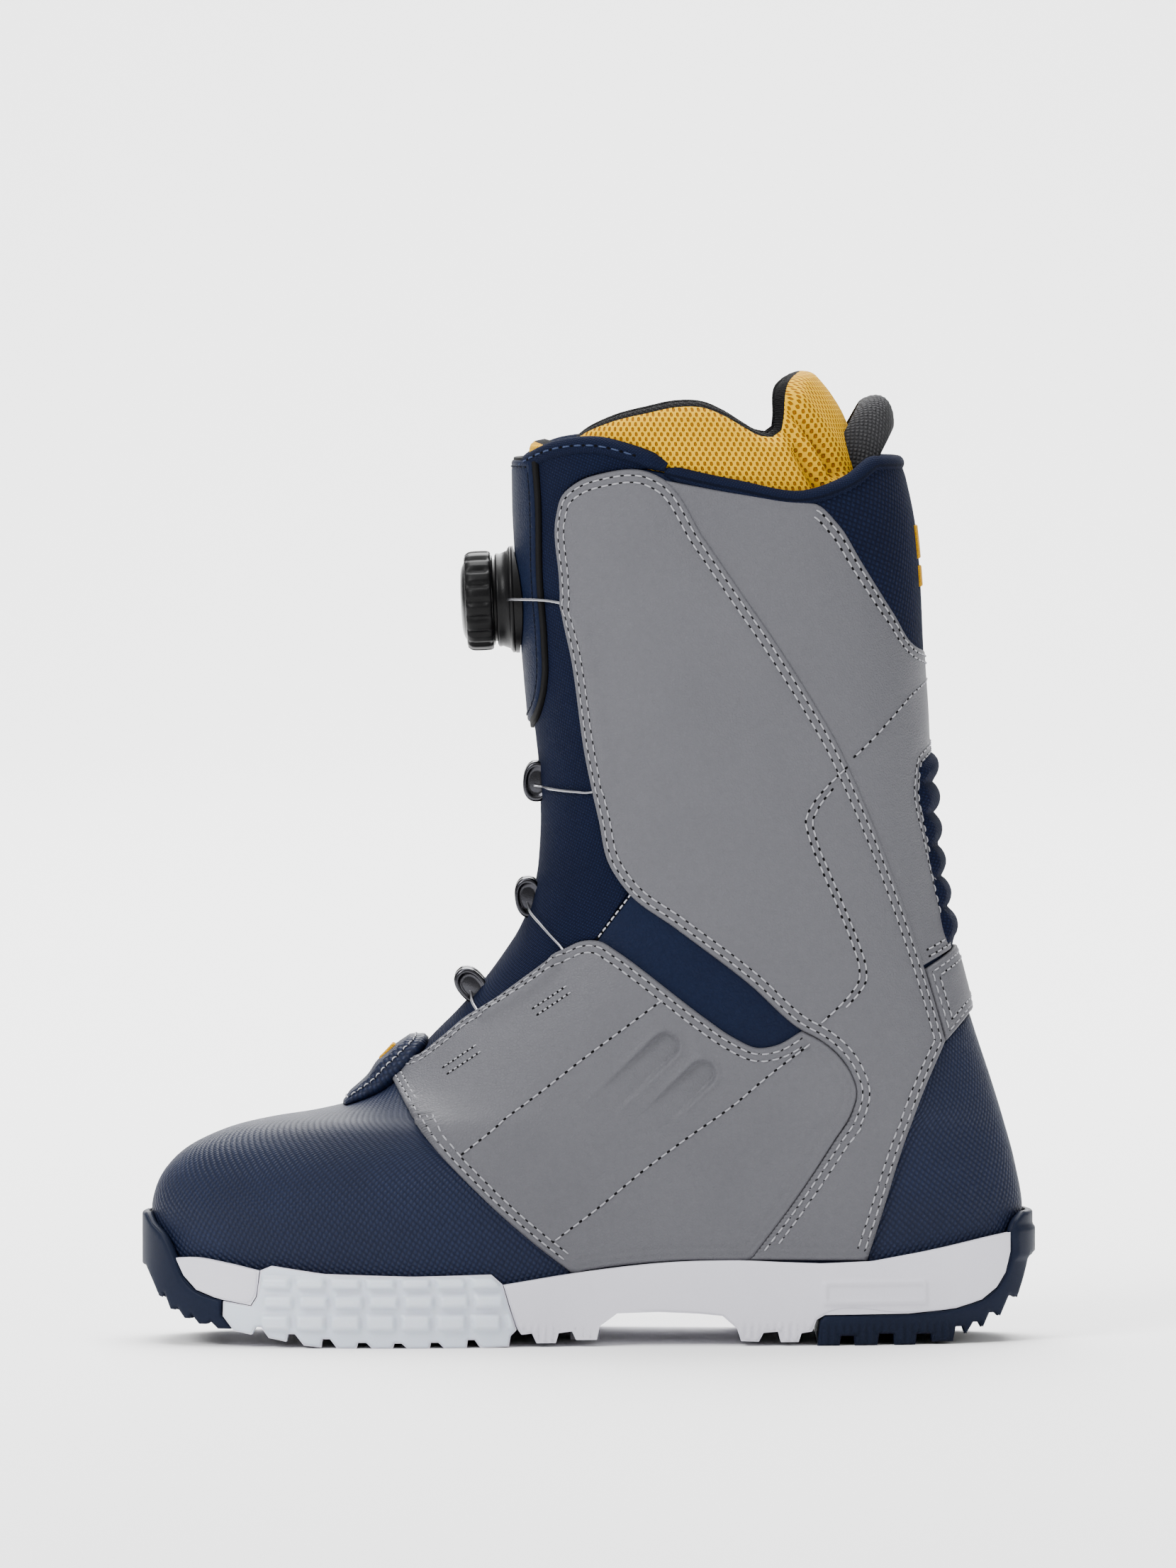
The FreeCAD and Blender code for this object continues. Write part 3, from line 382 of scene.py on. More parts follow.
def patch(name, skin, loop, material, height, under, edge=1.1, spacing=2.2, grooves=(), relief=None,
          rows=None, soft=0.0, lining=None):
    """A panel on a skin: a round-edged sheet from under to height above it, over a closed unrolled loop.

    grooves are (distance from the edge, depth); relief(point, d) adds to the height.
    soft pads the middle up by that much. lining is (material, how far it wraps over the edge)."""
    loop = clean_loop(loop)
    rows = list(rows) if rows is not None else [0.25 * edge, 0.6 * edge, edge]
    for distance, _ in grooves:
        rows += [distance - 0.55, distance, distance + 0.55]
    flat = [loop]
    for distance in sorted(rows):
        moved, good = inset(skin, loop, distance)
        flat.append(moved[good])
    low, high = loop.min(0), loop.max(0)
    gx, gy = np.meshgrid(np.arange(low[0], high[0], spacing), np.arange(low[1], high[1], spacing * 0.87))
    gx[1::2] += spacing / 2
    grid = np.stack([gx.ravel(), gy.ravel()], -1)
    grid = grid[inside_loop(grid, loop)]
    edge_points = skin.point(loop)
    clear = nearest(skin.point(grid), edge_points) > max(rows) + 0.45 * spacing
    flat = np.concatenate(flat + [grid[clear]])
    n = len(loop)
    found = delaunay_2d_cdt([Vector(q) for q in flat], [], [list(range(n))], 1, 1e-4)
    flat = np.array([tuple(q) for q in found[0]])
    faces = [tuple(f) for f in found[2]]
    point, normal, _, _ = skin.frame_at(flat)
    d = nearest(point, edge_points)
    k = np.clip(d / edge, 0, 1)
    tall = under + (height - under) * (0.35 + 0.65 * np.sqrt(np.maximum(0, 1 - (1 - k) ** 2)))
    for distance, depth in grooves:
        tall = tall - depth * np.exp(-((d - distance) / 0.42) ** 2)
    if soft:
        tall = tall + soft * smooth_step(0, 7.0, d)
    if relief is not None:
        tall = tall + relief(point, d)
    count = len(flat)
    floor = np.full(count, float(under))
    if lining:
        floor += (height - under) * 0.35 * (1 - np.sqrt(np.maximum(0, 1 - (1 - k) ** 2)))
    verts = np.concatenate([point + normal * tall[:, None], point + normal * floor[:, None]])
    a, b, c = (verts[i] for i in faces[len(faces) // 2])
    if np.cross(b - a, c - a) @ normal[faces[len(faces) // 2][0]] < 0:
        faces = [f[::-1] for f in faces]
    edges = {(a, b) for f in faces for a, b in zip(f, f[1:] + f[:1])}
    skirt = [(b, a, a + count, b + count) for a, b in edges if (b, a) not in edges]
    bottom = [tuple(i + count for i in reversed(f)) for f in faces]
    piece = make_object(name, verts, faces + bottom + skirt, material, np.concatenate([flat, flat]))
    if lining:
        piece.data.materials.append(lining[0])
        wrapped = [1 if max(d[i] for i in f) < lining[1] else 0 for f in faces]
        piece.data.polygons.foreach_set("material_index", wrapped + [1] * (len(bottom) + len(skirt)))
    return piece


# ---- stitches -----------------------------------------------------------------------------------------
STITCHES = {}


def chains(good):
    """Runs of True in a closed mask, as index lists."""
    n = len(good)
    if good.all():
        return [list(range(n)) + [0]]
    start = int(np.argmin(good))
    runs, run = [], []
    for k in range(n + 1):
        i = (start + k) % n
        if k < n and good[i]:
            run.append(i)
        elif run:
            runs.append(run)
            run = []
    return [r for r in runs if len(r) > 3]


def sew(line, normals, body, length=2.9, gap=0.95, thick=0.27, colour="thread"):
    """Adds a row of stitches along a line of surface points, with a dark disc of painted shade at each needle
    hole.
    """
    seg = np.linalg.norm(np.diff(line, axis=0), axis=1)
    run = np.concatenate([[0], np.cumsum(seg)])
    if run[-1] < length + gap:
        return
    count = max(1, int(round(run[-1] / (length + gap))))
    pitch = run[-1] / count
    store = STITCHES.setdefault((body, colour), ([], []))
    hole_shades = STITCHES.setdefault((body, "needle_hole"), ([], []))

    def place(at):
        return (np.array([np.interp(at, run, line[:, k]) for k in range(3)]),
                np.array([np.interp(at, run, normals[:, k]) for k in range(3)]))

    for c in range(count):
        begin = c * pitch + gap / 2
        base = sum(len(a) for a in store[0])
        ring_points = []
        for t, lift, size in ((0, -0.32, 0.55), (0.13, 0.06, 0.9), (0.35, 0.26, 1.06), (0.65, 0.26, 1.06),
                              (0.87, 0.06, 0.9), (1, -0.32, 0.55)):
            at = begin + t * (pitch - gap)
            p, nrm = place(at)
            q, _ = place(min(at + 0.2, run[-1]))
            o, _ = place(max(at - 0.2, 0))
            along = (q - o) / max(np.linalg.norm(q - o), 1e-9)
            cross = np.cross(nrm, along)
            for a in range(6):
                w = TAU * a / 6
                up = lift + thick * size * 0.8 * math.sin(w)
                ring_points.append(p + nrm * up + cross * thick * size * math.cos(w))
        store[0].append(np.array(ring_points))
        for row in range(base, base + 30, 6):
            for a in range(6):
                b = (a + 1) % 6
                store[1].append((row + a, row + b, row + 6 + b, row + 6 + a))
        store[1].append(tuple(base + a for a in reversed(range(6))))
        store[1].append(tuple(base + 30 + a for a in range(6)))
        p, nrm = place(c * pitch)
        q, _ = place(min(c * pitch + 0.3, run[-1]))
        along = q - p if np.linalg.norm(q - p) > 1e-6 else p - place(c * pitch - 0.3)[0]
        along = along / np.linalg.norm(along)
        cross = np.cross(nrm, along)
        # a near-black disc at each needle hole: painted shade standing in for the hole
        base = sum(len(a) for a in hole_shades[0])
        disc = [p + nrm * 0.10]
        for a in range(8):
            w = TAU * a / 8
            disc.append(p + nrm * 0.02 + along * 0.72 * math.cos(w) + cross * 0.42 * math.sin(w))
        hole_shades[0].append(np.array(disc))
        for a in range(8):
            hole_shades[1].append((base, base + 1 + a, base + 1 + (a + 1) % 8))


def sew_edge(skin, loop, distance, body, height, where=None, relief=None, **kinds):
    """Stitches at a distance inside a panel's edge, where(x, z) is true, over its relief."""
    loop = clean_loop(loop)
    moved, good = inset(skin, loop, distance)
    point, normal, _, _ = skin.frame_at(moved)
    if where is not None:
        edge = skin.point(loop)
        good = good & where(edge[:, 0], edge[:, 2])
    tall = np.full(len(point), float(height))
    if relief is not None:
        tall += relief(point, np.full(len(point), float(distance)))
    for run in chains(good):
        sew(point[run] + normal[run] * tall[run][:, None], normal[run], body, **kinds)


def sew_line(skin, points, side, body, height, step=1.5, relief=None, **kinds):
    """Stitches along an open side-view line on one side, over a panel's relief."""
    xz = smooth_outline(points, step, False)
    point, normal, _, _ = skin.frame_at(skin.flat(xz[:, 0], xz[:, 1], side))
    tall = np.full(len(point), float(height))
    if relief is not None:
        tall += relief(point, np.full(len(point), 20.0))
    sew(point + normal * tall[:, None], normal, body, **kinds)


def finish_stitches():
    for (body, colour), (parts, faces) in STITCHES.items():
        piece = make_object(f"{colour}_{body}", np.concatenate(parts), faces, MATERIALS[colour])
        settle(piece, body, SLOT_OF[colour])


# ---- materials ----------------------------------------------------------------------------------------
MATERIALS = {}
SLOT_OF = {"thread": "grey_leather", "dark_thread": "navy_leather", "white_thread": "grey_leather",
           "blue_thread": "navy_fabric", "needle_hole": "navy_leather"}


class Nodes:
    """Shorthand for building one material's nodes."""

    def __init__(self, name, rough, **sockets):
        self.material = bpy.data.materials.new(name)
        self.material.use_nodes = True
        self.tree = self.material.node_tree
        self.shader = self.tree.nodes["Principled BSDF"]
        self.shader.inputs["Roughness"].default_value = rough
        for key, value in sockets.items():
            self.shader.inputs[key.replace("_", " ")].default_value = value
        MATERIALS[name] = self.material

    def add(self, kind, inputs=None, **settings):
        node = self.tree.nodes.new(kind)
        for key, value in settings.items():
            setattr(node, key, value)
        for key, value in (inputs or {}).items():
            if isinstance(value, bpy.types.NodeSocket):
                self.tree.links.new(value, node.inputs[key])
            else:
                node.inputs[key].default_value = value
        return node

    def link(self, output, socket):
        self.tree.links.new(output, self.shader.inputs[socket])

    def coords(self, kind="Object", scale=(1, 1, 1), turn=0.0):
        place = self.add("ShaderNodeTexCoord")
        mapping = self.add("ShaderNodeMapping", {"Vector": place.outputs[kind], "Scale": scale,
                                                "Rotation": (0, 0, turn)})
        return mapping.outputs[0]

    def noise(self, vector, scale, detail=4.0, rough=0.6):
        return self.add("ShaderNodeTexNoise", {"Vector": vector, "Scale": scale, "Detail": detail,
                                               "Roughness": rough}).outputs["Fac"]

    def cells(self, vector, scale, feature="F1", random=1.0):
        node = self.add("ShaderNodeTexVoronoi", feature=feature)
        self.tree.links.new(vector, node.inputs["Vector"])
        node.inputs["Scale"].default_value = scale
        node.inputs["Randomness"].default_value = random
        return node.outputs["Distance"]

    def math(self, operation, a, b=0.0):
        return self.add("ShaderNodeMath", {0: a, 1: b}, operation=operation).outputs[0]

    def span(self, value, low, high, to_low=0.0, to_high=1.0):
        return self.add("ShaderNodeMapRange", {0: value, 1: low, 2: high, 3: to_low, 4: to_high}).outputs[0]

    def mix(self, factor, a, b):
        node = self.add("ShaderNodeMix", data_type="RGBA")
        for socket, value in ((node.inputs[0], factor), (node.inputs[6], a), (node.inputs[7], b)):
            if isinstance(value, bpy.types.NodeSocket):
                self.tree.links.new(value, socket)
            else:
                socket.default_value = value
        return node.outputs[2]

    def bump(self, height, strength, distance, after=None):
        inputs = {"Height": height, "Strength": strength, "Distance": distance}
        if after is not None:
            inputs["Normal"] = after
        return self.add("ShaderNodeBump", inputs).outputs[0]


def leather(name, light, dark, rough=0.5, grain=900.0, depth=0.00016, shine=0.22):
    n = Nodes(name, rough, Specular_IOR_Level=shine)
    at = n.coords()
    cells = n.cells(at, grain, "DISTANCE_TO_EDGE")
    pores = n.span(cells, 0.0, 0.28)
    fine = n.noise(at, 2600.0, 3.0)
    broad = n.noise(at, 22.0, 5.0)
    fibres = n.noise(at, 480.0, 4.0)
    tone = n.math("ADD", n.span(broad, 0.3, 0.7, 0.0, 0.55), n.span(fibres, 0.3, 0.7, 0.0, 0.45))
    # painted shade: the grain's cell edges, which the bump sinks, darken the colour by up to a quarter
    tone = n.math("MULTIPLY", tone, n.span(pores, 0, 1, 0.75, 1.0))
    n.link(n.mix(tone, dark, light), "Base Color")
    n.link(n.span(broad, 0.3, 0.7, rough - 0.06, rough + 0.08), "Roughness")
    first = n.bump(pores, 0.55, depth)
    second = n.bump(fine, 0.35, depth * 0.5, first)
    n.link(n.bump(fibres, 0.30, depth * 2.0, second), "Normal")


def dotted(name, light, dark, rough=0.5, pitch=66.0, depth=0.0004):
    """Embossed synthetic leather: close rows of small raised dots, from the piece's own unrolled map; the
    colour is painted darker between the dots as shade.
    """
    n = Nodes(name, rough, Specular_IOR_Level=0.15)
    flat = n.coords("UV", (pitch, pitch * 0.8, pitch), 0.6)
    dots = n.cells(flat, 1.0, "F1", 0.1)
    raised = n.span(dots, 0.15, 0.55, 1.0, 0.0)
    at = n.coords()
    broad = n.noise(at, 30.0, 5.0)
    fine = n.noise(at, 1800.0, 3.0)
    # painted shade: the colour follows the dots' height, darker in the low ground between them
    tone = n.math("MULTIPLY", n.span(raised, 0, 1, 0.35, 1.0), n.span(broad, 0.3, 0.7, 0.6, 1.0))
    n.link(n.mix(tone, dark, light), "Base Color")
    n.link(n.span(raised, 0, 1, rough + 0.12, rough - 0.05), "Roughness")
    n.link(n.bump(fine, 0.25, depth * 0.4, n.bump(raised, 0.8, depth)), "Normal")


def woven(name, light, dark, rough=0.85, pitch=95.0, depth=0.00035):
    """Plain-weave cloth from the piece's own unrolled map, its colour darkened as painted shade where the
    threads sink.
    """
    n = Nodes(name, rough, Specular_IOR_Level=0.07)
    flat = n.coords("UV", (pitch, pitch, pitch), 0.35)
    split = n.add("ShaderNodeSeparateXYZ", {0: flat})
    x, y = split.outputs[0], split.outputs[1]
    warp = n.math("SINE", n.math("MULTIPLY", x, math.pi))
    weft = n.math("SINE", n.math("MULTIPLY", y, math.pi))
    over = n.math("MULTIPLY", warp, weft)
    threads = n.math("ABSOLUTE", over)
    at = n.coords()
    fuzz = n.noise(at, 2200.0, 3.0)
    broad = n.noise(at, 26.0, 4.0)
    height = n.math("ADD", threads, n.math("MULTIPLY", n.span(over, -1, 1), 0.5))
    # painted shade: the colour follows the threads' height, darkest in the hollows between them
    tone = n.math("MULTIPLY", n.span(height, 0, 1.4, 0.15, 1.0), n.span(broad, 0.3, 0.7, 0.65, 1.0))
    n.link(n.mix(tone, dark, light), "Base Color")
    n.link(n.bump(fuzz, 0.3, depth * 0.3, n.bump(height, 0.9, depth)), "Normal")


def honeycomb(name, light, dark, rough=0.8, across=87.0, down=60.0, depth=0.0009):
    """Spacer mesh: staggered pits with yarn ribs between them; the pits are painted in the dark colour as
    shade.
    """
    n = Nodes(name, rough, Specular_IOR_Level=0.07)
    split = n.add("ShaderNodeSeparateXYZ", {0: n.coords("UV", (across, down, 1.0))})
    waves = [n.math("COSINE", n.math("MULTIPLY", split.outputs[k], math.pi)) for k in (0, 1)]
    rib = n.span(n.math("MULTIPLY", *waves), 0.62, 0.12)
    at = n.coords()
    yarn = n.noise(at, 1700.0, 3.0)
    broad = n.noise(at, 24.0, 4.0)
    # painted shade: the pits take the dark colour, the ribs the light one
    tone = n.math("MULTIPLY", n.span(rib, 0, 1, 0.0, 1.0), n.span(broad, 0.3, 0.7, 0.8, 1.0))
    n.link(n.mix(tone, dark, light), "Base Color")
    n.link(n.bump(yarn, 0.35, depth * 0.3, n.bump(rib, 1.0, depth)), "Normal")


def moulded(name, light, dark, rough=0.5, speck=0.3, depth=0.00008, **sockets):
    n = Nodes(name, rough, **sockets)
    at = n.coords()
    fine = n.noise(at, 1500.0, 5.0)
    broad = n.noise(at, 18.0, 5.0)
    tone = n.math("ADD", n.span(broad, 0.3, 0.7, 0.0, 1 - speck), n.span(fine, 0.3, 0.7, 0.0, speck))
    n.link(n.mix(tone, dark, light), "Base Color")
    n.link(n.span(broad, 0.3, 0.7, rough - 0.05, rough + 0.07), "Roughness")
    n.link(n.bump(fine, 0.4, depth), "Normal")


leather("grey_leather", (0.082, 0.082, 0.092, 1), (0.068, 0.068, 0.077, 1), 0.5)
# navy_dot's second colour is the painted shade between its raised dots.
dotted("navy_dot", (0.0060, 0.0110, 0.034, 1), (0.0014, 0.0026, 0.010, 1))
leather("navy_leather", (0.0036, 0.0074, 0.023, 1), (0.0020, 0.0042, 0.015, 1), 0.55, 700.0, shine=0.07)
# For each woven cloth in this list, the second colour is the painted shade where the threads sink.
woven("navy_weave", (0.0056, 0.0098, 0.032, 1), (0.0005, 0.0009, 0.004, 1))
woven("navy_knit", (0.0068, 0.0112, 0.033, 1), (0.0006, 0.0009, 0.004, 1), 0.9, 60.0, 0.0005)
woven("navy_lining", (0.0056, 0.0092, 0.027, 1), (0.0012, 0.0022, 0.008, 1), 0.9, 120.0, 0.0002)
# yellow_mesh's second colour is the painted shade in the pits.
honeycomb("yellow_mesh", (0.62, 0.345, 0.0, 1), (0.22, 0.078, 0.0, 1))
woven("yellow_thread", (0.52, 0.28, 0.004, 1), (0.34, 0.15, 0.002, 1), 0.7, 160.0, 0.0003)
woven("black_webbing", (0.046, 0.046, 0.049, 1), (0.007, 0.007, 0.008, 1), 0.75, 70.0, 0.0006)
woven("black_lining", (0.010, 0.010, 0.011, 1), (0.002, 0.002, 0.002, 1), 0.9, 90.0, 0.0005)
moulded("white_rubber", (0.56, 0.55, 0.61, 1), (0.49, 0.48, 0.54, 1), 0.45)
moulded("clear_rubber", (0.62, 0.62, 0.69, 1), (0.54, 0.54, 0.61, 1), 0.34, Subsurface_Weight=0.2)
moulded("navy_rubber", (0.0060, 0.0092, 0.022, 1), (0.003, 0.0048, 0.012, 1), 0.5, Specular_IOR_Level=0.08)
moulded("black_plastic", (0.003, 0.003, 0.0034, 1), (0.0015, 0.0015, 0.0018, 1), 0.34,
        Specular_IOR_Level=0.12)
moulded("black_gloss", (0.003, 0.003, 0.0034, 1), (0.0015, 0.0015, 0.0018, 1), 0.2, Specular_IOR_Level=0.2)
moulded("grip_rubber", (0.003, 0.003, 0.0034, 1), (0.0015, 0.0015, 0.0018, 1), 0.4, Specular_IOR_Level=0.11)
moulded("dark_chrome", (0.06, 0.06, 0.066, 1), (0.022, 0.022, 0.027, 1), 0.22, Metallic=1.0)
moulded("steel", (0.34, 0.34, 0.36, 1), (0.20, 0.20, 0.22, 1), 0.32, Metallic=1.0)
moulded("thread", (0.30, 0.30, 0.32, 1), (0.20, 0.20, 0.22, 1), 0.65, 0.6, 0.0002, Specular_IOR_Level=0.25)
moulded("white_thread", (0.42, 0.42, 0.44, 1), (0.28, 0.28, 0.31, 1), 0.7, 0.6, 0.0002)
moulded("dark_thread", (0.006, 0.009, 0.02, 1), (0.003, 0.004, 0.011, 1), 0.7, 0.6, 0.0002,
        Specular_IOR_Level=0.1)
moulded("blue_thread", (0.035, 0.05, 0.10, 1), (0.015, 0.022, 0.05, 1), 0.7, 0.6, 0.0002,
        Specular_IOR_Level=0.1)
# near-black colour of the needle-hole discs: painted shade
moulded("needle_hole", (0.002, 0.002, 0.0025, 1), (0.001, 0.001, 0.001, 1), 0.9, Specular_IOR_Level=0.05)
moulded("black_edge", (0.003, 0.003, 0.0035, 1), (0.0015, 0.0015, 0.0015, 1), 0.7, Specular_IOR_Level=0.1)
woven("footbed_cloth", (0.06, 0.06, 0.07, 1), (0.012, 0.012, 0.014, 1), 0.9, 90.0)
moulded("board", (0.22, 0.18, 0.12, 1), (0.14, 0.11, 0.07, 1), 0.8)
M = MATERIALS

# ---- the upper's cloth and leather wall -----------------------------------------------------------------
WALL = -2.4  # the wall's inner face, below the skin
STITCH_ROWS = (2.0, 4.4)  # a double row's distances from the panel's edge
WALL_BACK = [  # the side wall's outline behind and below the tongue
    (26, 298.6), (50, 293), (75, 289.5), (84, 278), (92, 264), (104, 246), (112, 235), (112, 208), (108, 196),
    (110, 186), (113, 170), (118, 150), (122, 133), (127, 116), (122, 106), (114, 88), (106, 66), (100, 44),
    (93, 21), (4, 21), (-4, 27), (-35, 54),
]


def build_wall():
    loop = end_loop(VAMP, VAMP_EDGE, False)
    vamp = patch("vamp", VAMP, loop, M["navy_dot"], 0.0, WALL, 0.9, 2.4)
    settle(vamp, "shell", "navy_leather", "toe_vamp")
    loop = end_loop(UPPER, HEEL_COUNTER_EDGE, True)
    counter = patch("heel_counter_skin", UPPER, loop, M["navy_dot"], 0.0, WALL, 0.9, 2.4)
    settle(counter, "shell", "navy_leather", "heel_counter")
    outline = [(-66.8, 91.4)] + [(x - 0.2, z + 0.2) for x, z in TONGUE_EDGE[1:-1]] + WALL_BACK
    for side, word in ((-1, "medial"), (1, "lateral")):
        loop = side_loop(UPPER, outline, side)
        lining = patch(f"quarter_wall_{word}", UPPER, loop, M["navy_leather"], -0.15, WALL, 0.8, 3.0)
        settle(lining, "shell", "navy_leather", f"quarter_lining_{word}")


def bellows(point, d):
    """Six soft rolls across the flex pad."""
    wave = np.abs(np.sin(math.pi * (point[:, 2] - 137.5) / 10.9))
    return (1.1 + 3.0 * wave ** 0.7) * smooth_step(0, 5.0, d)


def build_back():
    loop = end_loop(SHAFT, ACCORDION_EDGE, True)
    pad = patch("flex_bellows", SHAFT, loop, M["navy_weave"], 0.0, WALL, 1.2, 1.5, relief=bellows)
    settle(pad, "shell", "navy_leather", "flex_accordion")
    loop = end_loop(SHAFT, COLLAR_EDGE, True)
    collar = patch("collar_knit", SHAFT, loop, M["navy_knit"], 0.3, WALL, 1.0, 2.6, soft=0.7)
    settle(collar, "shell", "navy_fabric", "collar_mesh")
    cuff_loop = end_loop(SHAFT, REAR_CUFF_EDGE, True)
    cuff = patch("rear_cuff", SHAFT, cuff_loop, M["grey_leather"], 1.35, 0.1, 1.0, 2.2, relief=leather_waves)
    settle(cuff, "shell", "grey_leather", "rear_cuff_panel")
    for distance in STITCH_ROWS:
        sew_edge(SHAFT, cuff_loop, distance, "shell", 1.37, behind_seam, leather_waves)
    strap_loop = end_loop(UPPER, HEEL_STRAP_EDGE, True)
    strap = patch("heel_strap_skin", UPPER, strap_loop, M["grey_leather"], 1.95, 0.1, 1.0, 2.0,
                  grooves=[(distance, 0.2) for distance in STITCH_ROWS], soft=0.5)
    settle(strap, "shell", "grey_leather", "heel_strap")
    for distance in STITCH_ROWS:
        sew_edge(UPPER, strap_loop, distance, "shell", 1.8 + 0.35 * (distance > 3))


# ---- grey quarters ------------------------------------------------------------------------------------
SOLE_LINE = Curve([
    (-160, 31), (-29, 23), (0, 27), (28, 30), (56, 30.6), (97, 30), (120, 34), (140, 38), (160, 41),
])
ROW_GROOVES = [(distance, 0.22) for distance in STITCH_ROWS]
UPPER_TUNNEL = [
    (-9.5, 254.2), (-4.0, 250.6), (-0.2, 243.0), (2.6, 228.0), (5.2, 211.0), (7.6, 198.5), (6.4, 191.8),
]
LOWER_TUNNEL = [(-9.4, 134.8), (-12.0, 128.0), (-19.0, 121.8), (-27.0, 116.2), (-33.0, 112.6)]


def capsule_groove(point, start, end, radius, depth, fade):
    """A round-ended pressed channel from start to end in side view, fading towards its end."""
    a, b = np.array(start, float), np.array(end, float)
    p = point[:, [0, 2]]
    t = np.clip(((p - a) @ (b - a)) / ((b - a) @ (b - a)), 0, 1)
    d = np.linalg.norm(p - (a + t[:, None] * (b - a)), axis=1)
    pressed = 1 - smooth_step(radius - 0.7, radius + 0.7, d)
    lip = np.exp(-(((d - radius - 1.0) / 0.8) ** 2))
    return (0.35 * lip - pressed) * depth * (1 - t * fade)


def off_line(point, line, step):
    """Side-view distance from each point to a smooth line."""
    pts = smooth_outline(line, step, False)
    p = point[:, [0, 2]]
    near = np.empty(len(p))
    for k in range(0, len(p), CHUNK):
        near[k:k + CHUNK] = np.linalg.norm(p[k:k + CHUNK, None] - pts[None], axis=-1).min(1)
    return near


def ridge(point, line, radius, height):
    """A raised cord tunnel under the panel along a side-view line."""
    return height * np.exp(-((off_line(point, line, 1.5) / radius) ** 2) * 1.2)


def leather_waves(point, d):
    """The hide's slow unevenness, level at the edges."""
    x, y, z = point.T
    wave = np.sin(x * 0.11 + z * 0.07 + 1.3) * np.sin(z * 0.09 - x * 0.05)
    wave = wave + 0.6 * np.sin(x * 0.23 - z * 0.17 + y * 0.1)
    return 0.16 * wave * smooth_step(2.0, 14.0, d)


def behind_seam(x, z):
    """True on the rear cuff's free edges: not along the tucked seam, the collar or the base."""
    line = [(113, 128)] + [(a - 1, b) for a, b in BACK_SEAM[::-1]] + [(25, 297)]
    seam = np.interp(z, [b for _, b in line], [a for a, _ in line])
    return (x > seam + 3.5) & ~((z > 286.5) & (x < 76.5))


def above_sole(x, z):
    return z > SOLE_LINE(x) + 1.5


def lower_free(x, z):
    """True where the lower panel's rows show: above the sole and not along its back edge."""
    return above_sole(x, z) & ~((x > 50) & (z < 101.5)) & (x < 74)


def lower_relief(point, d):
    out = capsule_groove(point, (26.5, 103), (4, 81), 4.4, 1.9, 0.95)
    out = out + capsule_groove(point, (39, 93.5), (21, 76), 4.4, 1.9, 0.95)
    return out + leather_waves(point, d) + ridge(point, LOWER_TUNNEL, 2.2, 2.3) * smooth_step(0.0, 1.2, d)


def upper_relief(point, d):
    return leather_waves(point, d) + ridge(point, UPPER_TUNNEL, 2.0, 1.2) * smooth_step(0.0, 1.2, d)


LOWER_SEAMS = (
    [(-43, 66), (-22, 82), (0, 99.5), (12, 108.5), (26, 119)],
    [(-12, 36), (4, 48), (20, 61), (36, 73), (50, 83), (60, 91.5), (76, 104)],
)
CONTOUR = [(87.5, 198), (80.5, 191), (76, 185), (74, 180), (75, 175), (80, 162), (85, 150), (90, 137),
           (92, 130), (92, 125), (89.5, 121), (85, 116), (79, 110.5)]
CUFF_SEAM = [(90.5, 201.8), (96, 207.2), (104, 216), (110, 222.5), (117, 228)]
GUSSET_SEAM = [(3.4, 139.5), (9, 147), (15, 155)]


def build_quarters():
    for side, word in ((-1, "medial"), (1, "lateral")):
        loop = side_loop(UPPER, LOWER_QUARTER, side)
        piece = patch(f"lower_quarter_skin_{word}", UPPER, loop, M["grey_leather"], 1.9, 0.1, 1.0, 1.2,
                      grooves=ROW_GROOVES, relief=lower_relief)
        settle(piece, "shell", "grey_leather", f"lower_quarter_{word}", f"lace_tubes_{word}")
        for distance in STITCH_ROWS:
            sew_edge(UPPER, loop, distance, "shell", 1.72, lower_free, lower_relief)
        loop = side_loop(SHAFT, UPPER_QUARTER, side)
        piece = patch(f"upper_quarter_skin_{word}", SHAFT, loop, M["grey_leather"], 2.1, 0.1, 1.0, 2.0,
                      grooves=ROW_GROOVES, relief=upper_relief)
        settle(piece, "shell", "grey_leather", f"upper_quarter_{word}")
        for distance in STITCH_ROWS:
            sew_edge(SHAFT, loop, distance, "shell", 1.92, above_sole, upper_relief)
        for line in LOWER_SEAMS:
            sew_line(UPPER, line, side, "shell", 1.9, relief=lower_relief)
        sew_line(UPPER, CONTOUR, side, "shell", 2.1, relief=upper_relief)
        beside = [(x + 2.3, z - 0.4) for x, z in CONTOUR[1:-1]]
        sew_line(UPPER, beside, side, "shell", 2.1, relief=upper_relief)
        sew_line(UPPER, CUFF_SEAM, side, "shell", 1.38, relief=leather_waves)
        sew_line(SHIN, GUSSET_SEAM, side, "shell", 0.05, colour="white_thread", length=2.0, gap=0.4)
        for x, z in ((-48.5, 94), (-18, 115)):
            for dx, dz in ((0, 0), (1.45, -2.05)):
                line = [(x + dx, z + dz), (x + 5.8 + dx, z + 4.02 + dz), (x + 11.5 + dx, z + 8 + dz)]
                sew_line(UPPER, line, side, "shell", 1.9, 1.0, lower_relief, length=1.6, gap=0.5, thick=0.26)


# ---- tongue ---------------------------------------------------------------------------------------------
def band(skin, path, body, name, radius, material, sink, slot, node, ends=4):
    """A padded roll along an unrolled path, sunk below the skin by that much, tapering at its ends."""
    point, normal, _, _ = skin.frame_at(path)
    size = np.full(len(path), float(radius))
    taper = np.linspace(0.55, 1.0, ends)
    size[:ends] *= taper
    size[-ends:] *= taper[::-1]
    roll = tube(name, point - normal * sink, size, material, 18)
    settle(roll, body, slot, node)


